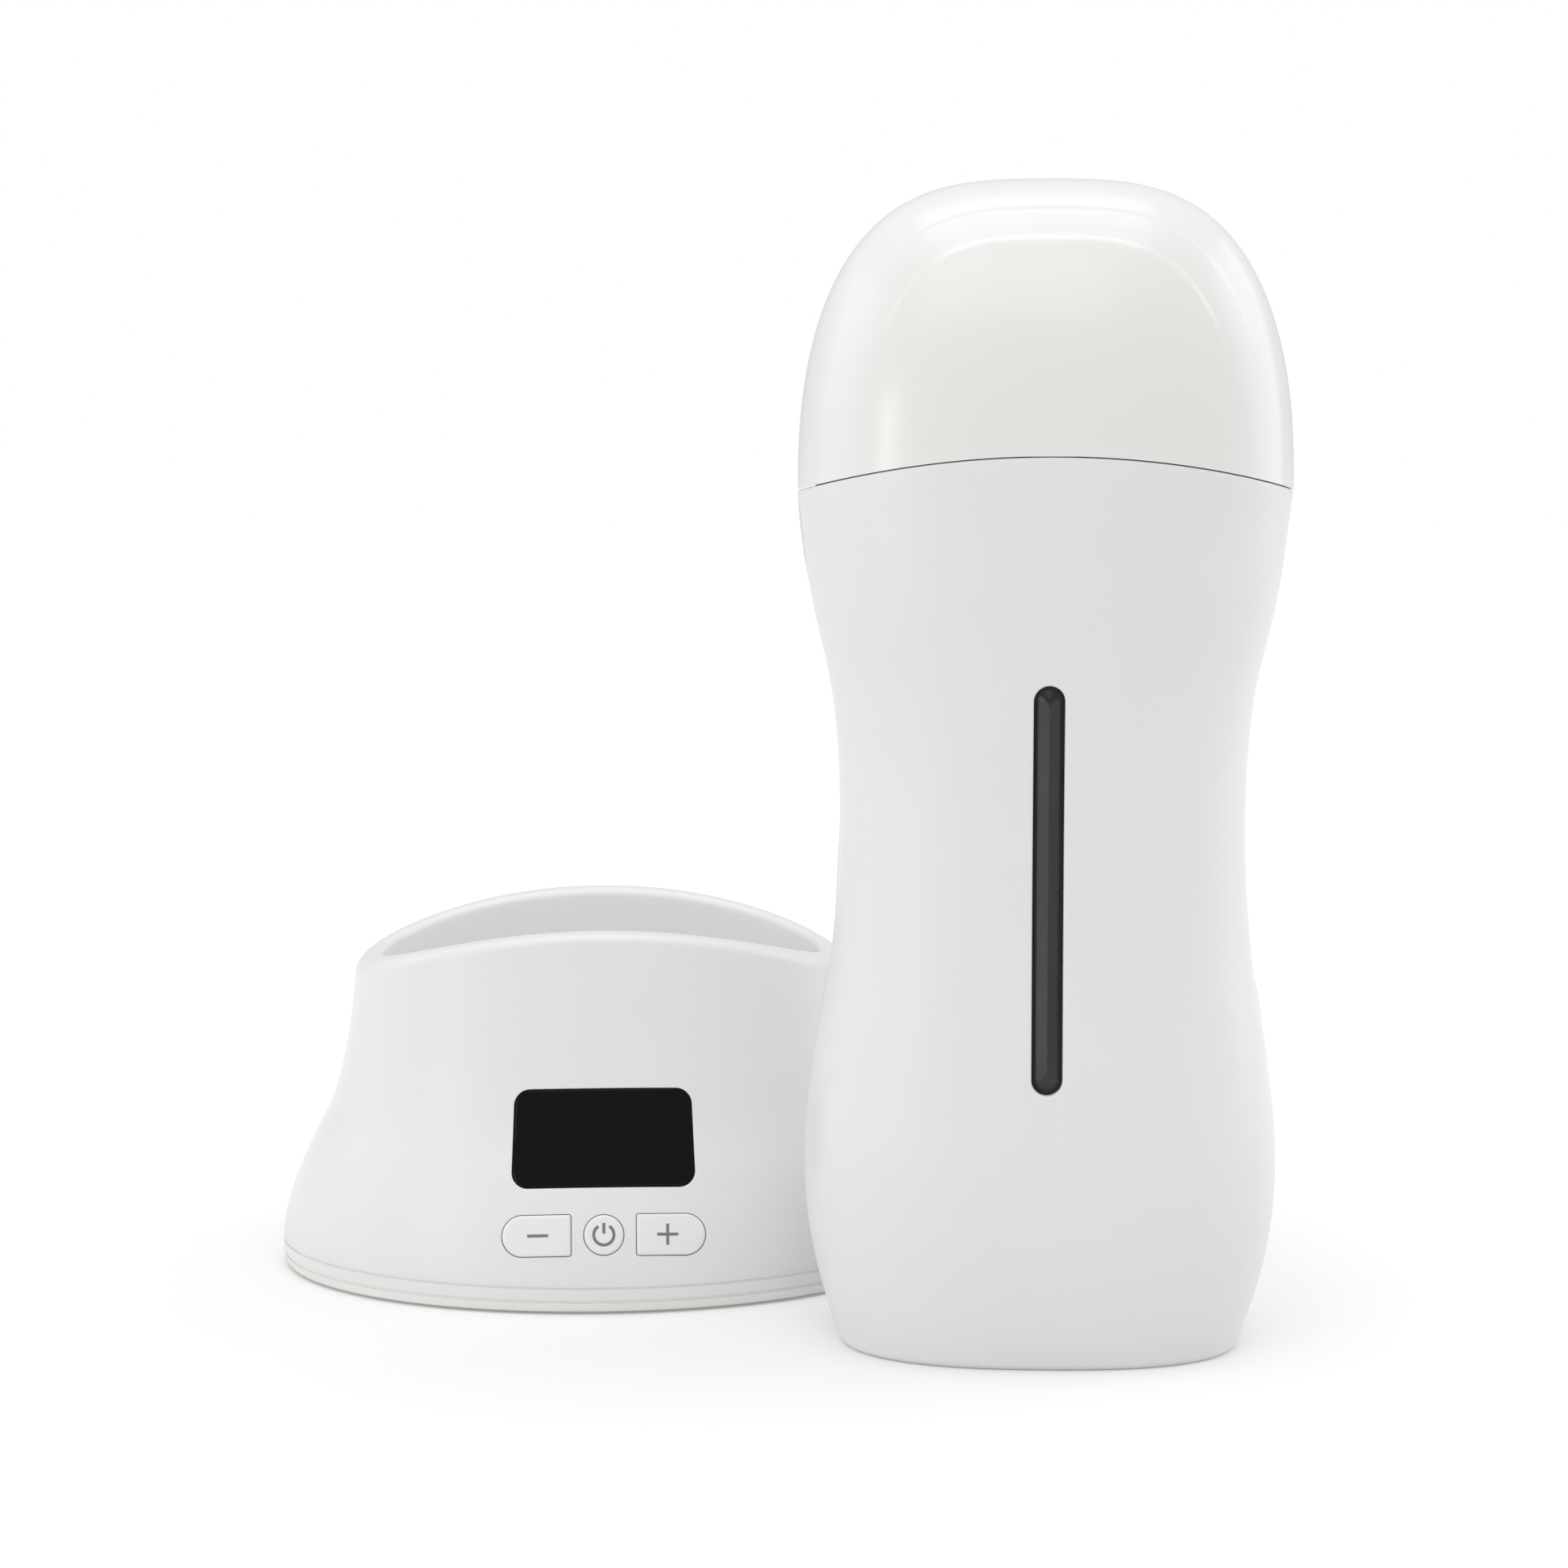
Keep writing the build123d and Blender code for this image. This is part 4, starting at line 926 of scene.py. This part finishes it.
def seen_through_shade(x, z):
    """How strongly painted shade, for the darker inside seen through the frosted cap, lies on the
    cap's flat face: soft at its border and just above the seam.
    """
    share = max(z - SHOULDER_Z, 0.0) / (HAND_TOP - SHOULDER_Z)
    wide = SHOULDER_WIDE * max(1 - share ** DOME_HEIGHT_POWER, 0.0) ** (1 / DOME_WIDTH_POWER)
    above = HAND_TOP - (abs(x) / SHOULDER_WIDE) ** DOME_WIDTH_POWER * SHADE_FALL - z
    border = eased(wide - abs(x), *SHADE_SIDES) * eased(above, *SHADE_TOP)
    return border * eased(z - arch(x, SEAM_CREST, SEAM_RADIUS), *SHADE_SEAM)


def add_handpiece(materials):
    make_piece("front_skin", front_shell_mesh(), materials["white_abs"], "handpiece", "handpiece",
               ("front_shell",))
    make_piece("sight_bar", sight_mesh(), materials["smoked_window"], "handpiece", "handpiece",
               ("sight_window",), 12)
    add_cap(materials)


# ======== shader nodes
def feed(node, inputs):
    """Fills a node's inputs, by name or number: an output is linked, and anything else is set."""
    for socket, value in inputs.items():
        if isinstance(value, bpy.types.NodeSocket):
            node.id_data.links.new(value, node.inputs[socket])
        else:
            node.inputs[socket].default_value = value


def add_node(tree, kind, inputs=(), **settings):
    """Adds a shader node with its settings and inputs."""
    node = tree.nodes.new("ShaderNode" + kind)
    for setting, value in settings.items():
        setattr(node, setting, value)
    feed(node, dict(inputs))
    return node


def new_material(name, colour, roughness, inputs=()):
    """A material and its Principled shader, with further inputs."""
    material = bpy.data.materials.new(name)
    material.use_nodes = True
    shader = material.node_tree.nodes["Principled BSDF"]
    feed(shader, {"Base Color": (*colour, 1), "Roughness": roughness, **dict(inputs)})
    return material, shader


def map_range(tree, value, source, target, **settings):
    """Carries a value from one range (low, high) over to another."""
    inputs = {"Value": value, "From Min": source[0], "From Max": source[1],
              "To Min": target[0], "To Max": target[1]}
    return add_node(tree, "MapRange", inputs, **settings).outputs["Result"]


def mixed(tree, share, first, second):
    """A colour between two others."""
    return add_node(tree, "Mix", {0: share, 6: first, 7: second}, data_type="RGBA").outputs[2]


def object_place(tree):
    return add_node(tree, "TexCoord").outputs["Object"]


def noise(tree, scale, detail=3.0):
    inputs = {"Vector": object_place(tree), "Scale": scale, "Detail": detail, "Roughness": 0.55}
    return add_node(tree, "TexNoise", inputs).outputs["Fac"]


def varied(tree, scale, low, high):
    """Noise, which lies mostly between 0.3 and 0.7, spread over a range."""
    return map_range(tree, noise(tree, scale), (0.3, 0.7), (low, high), clamp=False)


# ======== camera, lights and floor
CAMERA_BACK, CAMERA_HEIGHT = -579.95, 145.9  # from the base's axis, and above the table
CAMERA_LENS, CAMERA_SENSOR = 73.6, 36.0
CAMERA_DOWN, CAMERA_RIGHT = 5.838, 3.28  # in degrees

LIGHT_TARGET = (0.0, 0.0, 0.09)
LIGHTS = {  # place and size in metres, power in watts
    "left_softbox": ((-0.95, 0.05, 0.40), (0.7, 0.9), 1.3),
    "right_softbox": ((0.95, 0.05, 0.40), (0.7, 0.9), 2.3),
    "top_softbox": ((0.0, -0.1, 1.1), (0.9, 0.7), 3.1),
    "front_softbox": ((-0.25, -1.0, 1.1), (1.1, 0.6), 1.9),
    "strip_light": ((-0.80, -0.72, 0.20), (0.2, 0.4), 0.85),
}
WHITE = (1, 1, 1, 1)
WORLD_LIGHT = 0.62
FLOOR_SIZE, FLOOR_COLOUR = 6.0, 0.8
# The floor's own white is weakest round the items, painting a greyer zone of shade there.
FLOOR_GLOW = (0.185, 0.56)  # near the object and far from it
FLOOR_GLOW_REACH = (0.06, 0.30)  # their distances from the middle, in metres


def add_camera():
    data = bpy.data.cameras.new("camera")
    data.sensor_width = CAMERA_SENSOR
    data.lens = CAMERA_LENS
    data.clip_start = 0.01
    camera = new_object("camera", data)
    camera.location = (BASE_X * MM, (BASE_Y + CAMERA_BACK) * MM, CAMERA_HEIGHT * MM)
    camera.rotation_euler = (radians(90 - CAMERA_DOWN), 0, radians(-CAMERA_RIGHT))
    scene.camera = camera


def add_lights():
    for name, (place, size, power) in LIGHTS.items():
        data = bpy.data.lights.new(name, "AREA")
        data.shape = "RECTANGLE"
        data.size, data.size_y = size
        data.energy = power
        lamp = new_object(name, data)
        lamp.location = place
        aim = Vector(LIGHT_TARGET) - Vector(place)
        lamp.rotation_euler = aim.to_track_quat("-Z", "Y").to_euler()


def add_world():
    """White to the camera, and a dimmer light for everything else."""
    world = bpy.data.worlds.new("studio")
    scene.world = world
    world.use_nodes = True
    tree = world.node_tree
    tree.nodes.clear()
    light = add_node(tree, "Background", {"Color": WHITE, "Strength": WORLD_LIGHT})
    white = add_node(tree, "Background", {"Color": WHITE})
    seen = add_node(tree, "LightPath").outputs["Is Camera Ray"]
    mix = add_node(tree, "MixShader", {0: seen, 1: light.outputs[0], 2: white.outputs[0]})
    add_node(tree, "OutputWorld", {"Surface": mix.outputs[0]})


def seen_directly(tree):
    """1 for camera, glossy and transmission rays, which see the floor's own white."""
    path = add_node(tree, "LightPath")
    last = path.outputs["Is Camera Ray"]
    for kind in ("Is Glossy Ray", "Is Transmission Ray"):
        last = add_node(tree, "Math", {0: last, 1: path.outputs[kind]}, operation="MAXIMUM").outputs[0]
    return last


def floor_white():
    """Matt white with a white of its own, less of it near the object, where the lamps light the
    floor and shadows lie; there the weaker white also paints a greyer zone of shade round the items."""
    colour = (FLOOR_COLOUR,) * 3
    material, shader = new_material("floor_white", colour, 0.9, {"Specular IOR Level": 0.0})
    tree = material.node_tree
    length = add_node(tree, "VectorMath", {0: object_place(tree)}, operation="LENGTH").outputs["Value"]
    glow = map_range(tree, length, FLOOR_GLOW_REACH, FLOOR_GLOW, interpolation_type="SMOOTHSTEP")
    strength = add_node(tree, "Math", {0: seen_directly(tree), 1: glow}, operation="MULTIPLY")
    own = add_node(tree, "Emission", {"Color": WHITE, "Strength": strength.outputs[0]})
    both = add_node(tree, "AddShader", {0: shader.outputs[0], 1: own.outputs[0]})
    feed(tree.nodes["Material Output"], {"Surface": both.outputs[0]})
    return material


def add_floor():
    corners = [(x * FLOOR_SIZE, y * FLOOR_SIZE, 0) for x, y in ((-1, -1), (1, -1), (1, 1), (-1, 1))]
    data = bpy.data.meshes.new("floor")
    data.from_pydata(corners, [], [(0, 1, 2, 3)])
    floor = new_object("floor", data)
    data.materials.append(floor_white())


# ======== materials
def mottled(tree, colour, change, scale):
    """A colour that varies slightly from place to place."""
    darker = (*[c * (1 - change) for c in colour], 1)
    lighter = (*[min(c * (1 + change), 1) for c in colour], 1)
    return mixed(tree, varied(tree, scale, 0, 1), darker, lighter)


def vary(shader, colour, change, scale):
    feed(shader, {"Base Color": mottled(shader.id_data, colour, change, scale)})


def rough_variation(shader, low, high, scale):
    feed(shader, {"Roughness": varied(shader.id_data, scale, low, high)})


def grain(shader, scale, height):
    """Fine moulded texture as bump; height in metres."""
    inputs = {"Strength": 1.0, "Distance": height, "Height": noise(shader.id_data, scale, 2.0)}
    feed(shader, {"Normal": add_node(shader.id_data, "Bump", inputs).outputs[0]})


def white_abs():
    colour = (0.855, 0.855, 0.862)
    material, shader = new_material("white_abs", colour, 0.37)
    vary(shader, colour, 0.006, 45)
    rough_variation(shader, 0.355, 0.395, 60)
    grain(shader, 2600, 0.0000012)
    return material


def frosted_white():
    """Frosted white, with painted grey-green shade, for the darker inside seen through the cap, where
    the attribute panel is 1.
    """
    # the second colour is painted shade, for the darker inside seen through the cap
    clear, shaded = (0.89, 0.89, 0.89), (0.875, 0.885, 0.84)
    coat = {"Coat Weight": 0.3, "Coat Roughness": 0.14}
    material, shader = new_material("frosted_white", clear, 0.26, coat)
    tree = material.node_tree
    panel = add_node(tree, "Attribute", attribute_name="panel").outputs["Fac"]
    colour = mixed(tree, panel, mottled(tree, clear, 0.005, 40), mottled(tree, shaded, 0.008, 30))
    feed(shader, {"Base Color": colour})
    grain(shader, 3200, 0.0000010)
    return material


def plain_plastic(name, colour, roughness, change=0.02):
    """Moulded plastic with a fine grain."""
    material, shader = new_material(name, colour, roughness)
    vary(shader, colour, change, 80)
    grain(shader, 2400, 0.0000015)
    return material


def glossy_plastic(name, colour, roughness, specular):
    """Polished plastic: smooth, with a faint unevenness of its gloss."""
    material, shader = new_material(name, colour, roughness, {"Specular IOR Level": specular})
    vary(shader, colour, 0.06, 60)
    rough_variation(shader, roughness * 0.85, roughness * 1.2, 90)
    return material


def metal(name, colour, roughness):
    """Metal with uneven polish."""
    material, shader = new_material(name, colour, roughness, {"Metallic": 1.0})
    vary(shader, colour, 0.03, 120)
    rough_variation(shader, roughness * 0.8, roughness * 1.25, 260)
    grain(shader, 1800, 0.000001)
    return material


# (colour, roughness) and, where it isn't the usual one, how much the colour varies
PLASTICS = {
    "key_white": ((0.89, 0.89, 0.895), 0.33, 0.006),
    "print_grey": ((0.20, 0.19, 0.19), 0.5),
    "cover_white": ((0.88, 0.885, 0.845), 0.36, 0.006),
    "inner_white": ((0.78, 0.78, 0.76), 0.5),
    "dark_rubber": ((0.03, 0.03, 0.032), 0.75),
    "board_green": ((0.02, 0.14, 0.06), 0.35),
    "component_black": ((0.025, 0.025, 0.028), 0.45),
    "heater_grey": ((0.36, 0.30, 0.22), 0.4),
    "lead_insulation": ((0.45, 0.03, 0.025), 0.5),
    "ribbon_grey": ((0.48, 0.49, 0.52), 0.5),
    "display_dark": ((0.02, 0.022, 0.025), 0.2),
}
GLOSSY_PLASTICS = {  # (colour, roughness, specular level)
    "black_gloss": ((0.003, 0.0035, 0.0035), 0.08, 0.13),
    "smoked_window": ((0.010, 0.011, 0.008), 0.24, 0.45),
}
METALS = {
    "screw_steel": ((0.55, 0.55, 0.56), 0.32),
    "gilt_brass": ((0.83, 0.61, 0.26), 0.25),
    "can_aluminium": ((0.75, 0.76, 0.77), 0.38),
    "clamp_steel": ((0.6, 0.6, 0.61), 0.3),
}


def all_materials():
    made = {"white_abs": white_abs(), "frosted_cap": frosted_white()}
    for make, table in ((plain_plastic, PLASTICS), (glossy_plastic, GLOSSY_PLASTICS), (metal, METALS)):
        made.update({name: make(name, *values) for name, values in table.items()})
    return made


def dress_nodes(materials):
    """Gives every CAD node the material of its slot, and the bottom cover its own white."""
    for subpart in frame["record"]["subparts"]:
        data = nodes[subpart["node"]].data
        data.materials.clear()
        data.materials.append(materials[subpart["material_slot"]])
    nodes["bottom_cover"].data.materials[0] = materials["cover_white"]


# ======== everything
def main():
    scene.view_settings.view_transform = "Standard"
    add_camera()
    add_lights()
    add_world()
    add_floor()
    materials = all_materials()
    dress_nodes(materials)
    make_piece("base_skin", base_mesh(), materials["white_abs"], "base", "base",
               ("base_housing",))
    add_keys(materials)
    add_display(materials)
    add_handpiece(materials)


main()
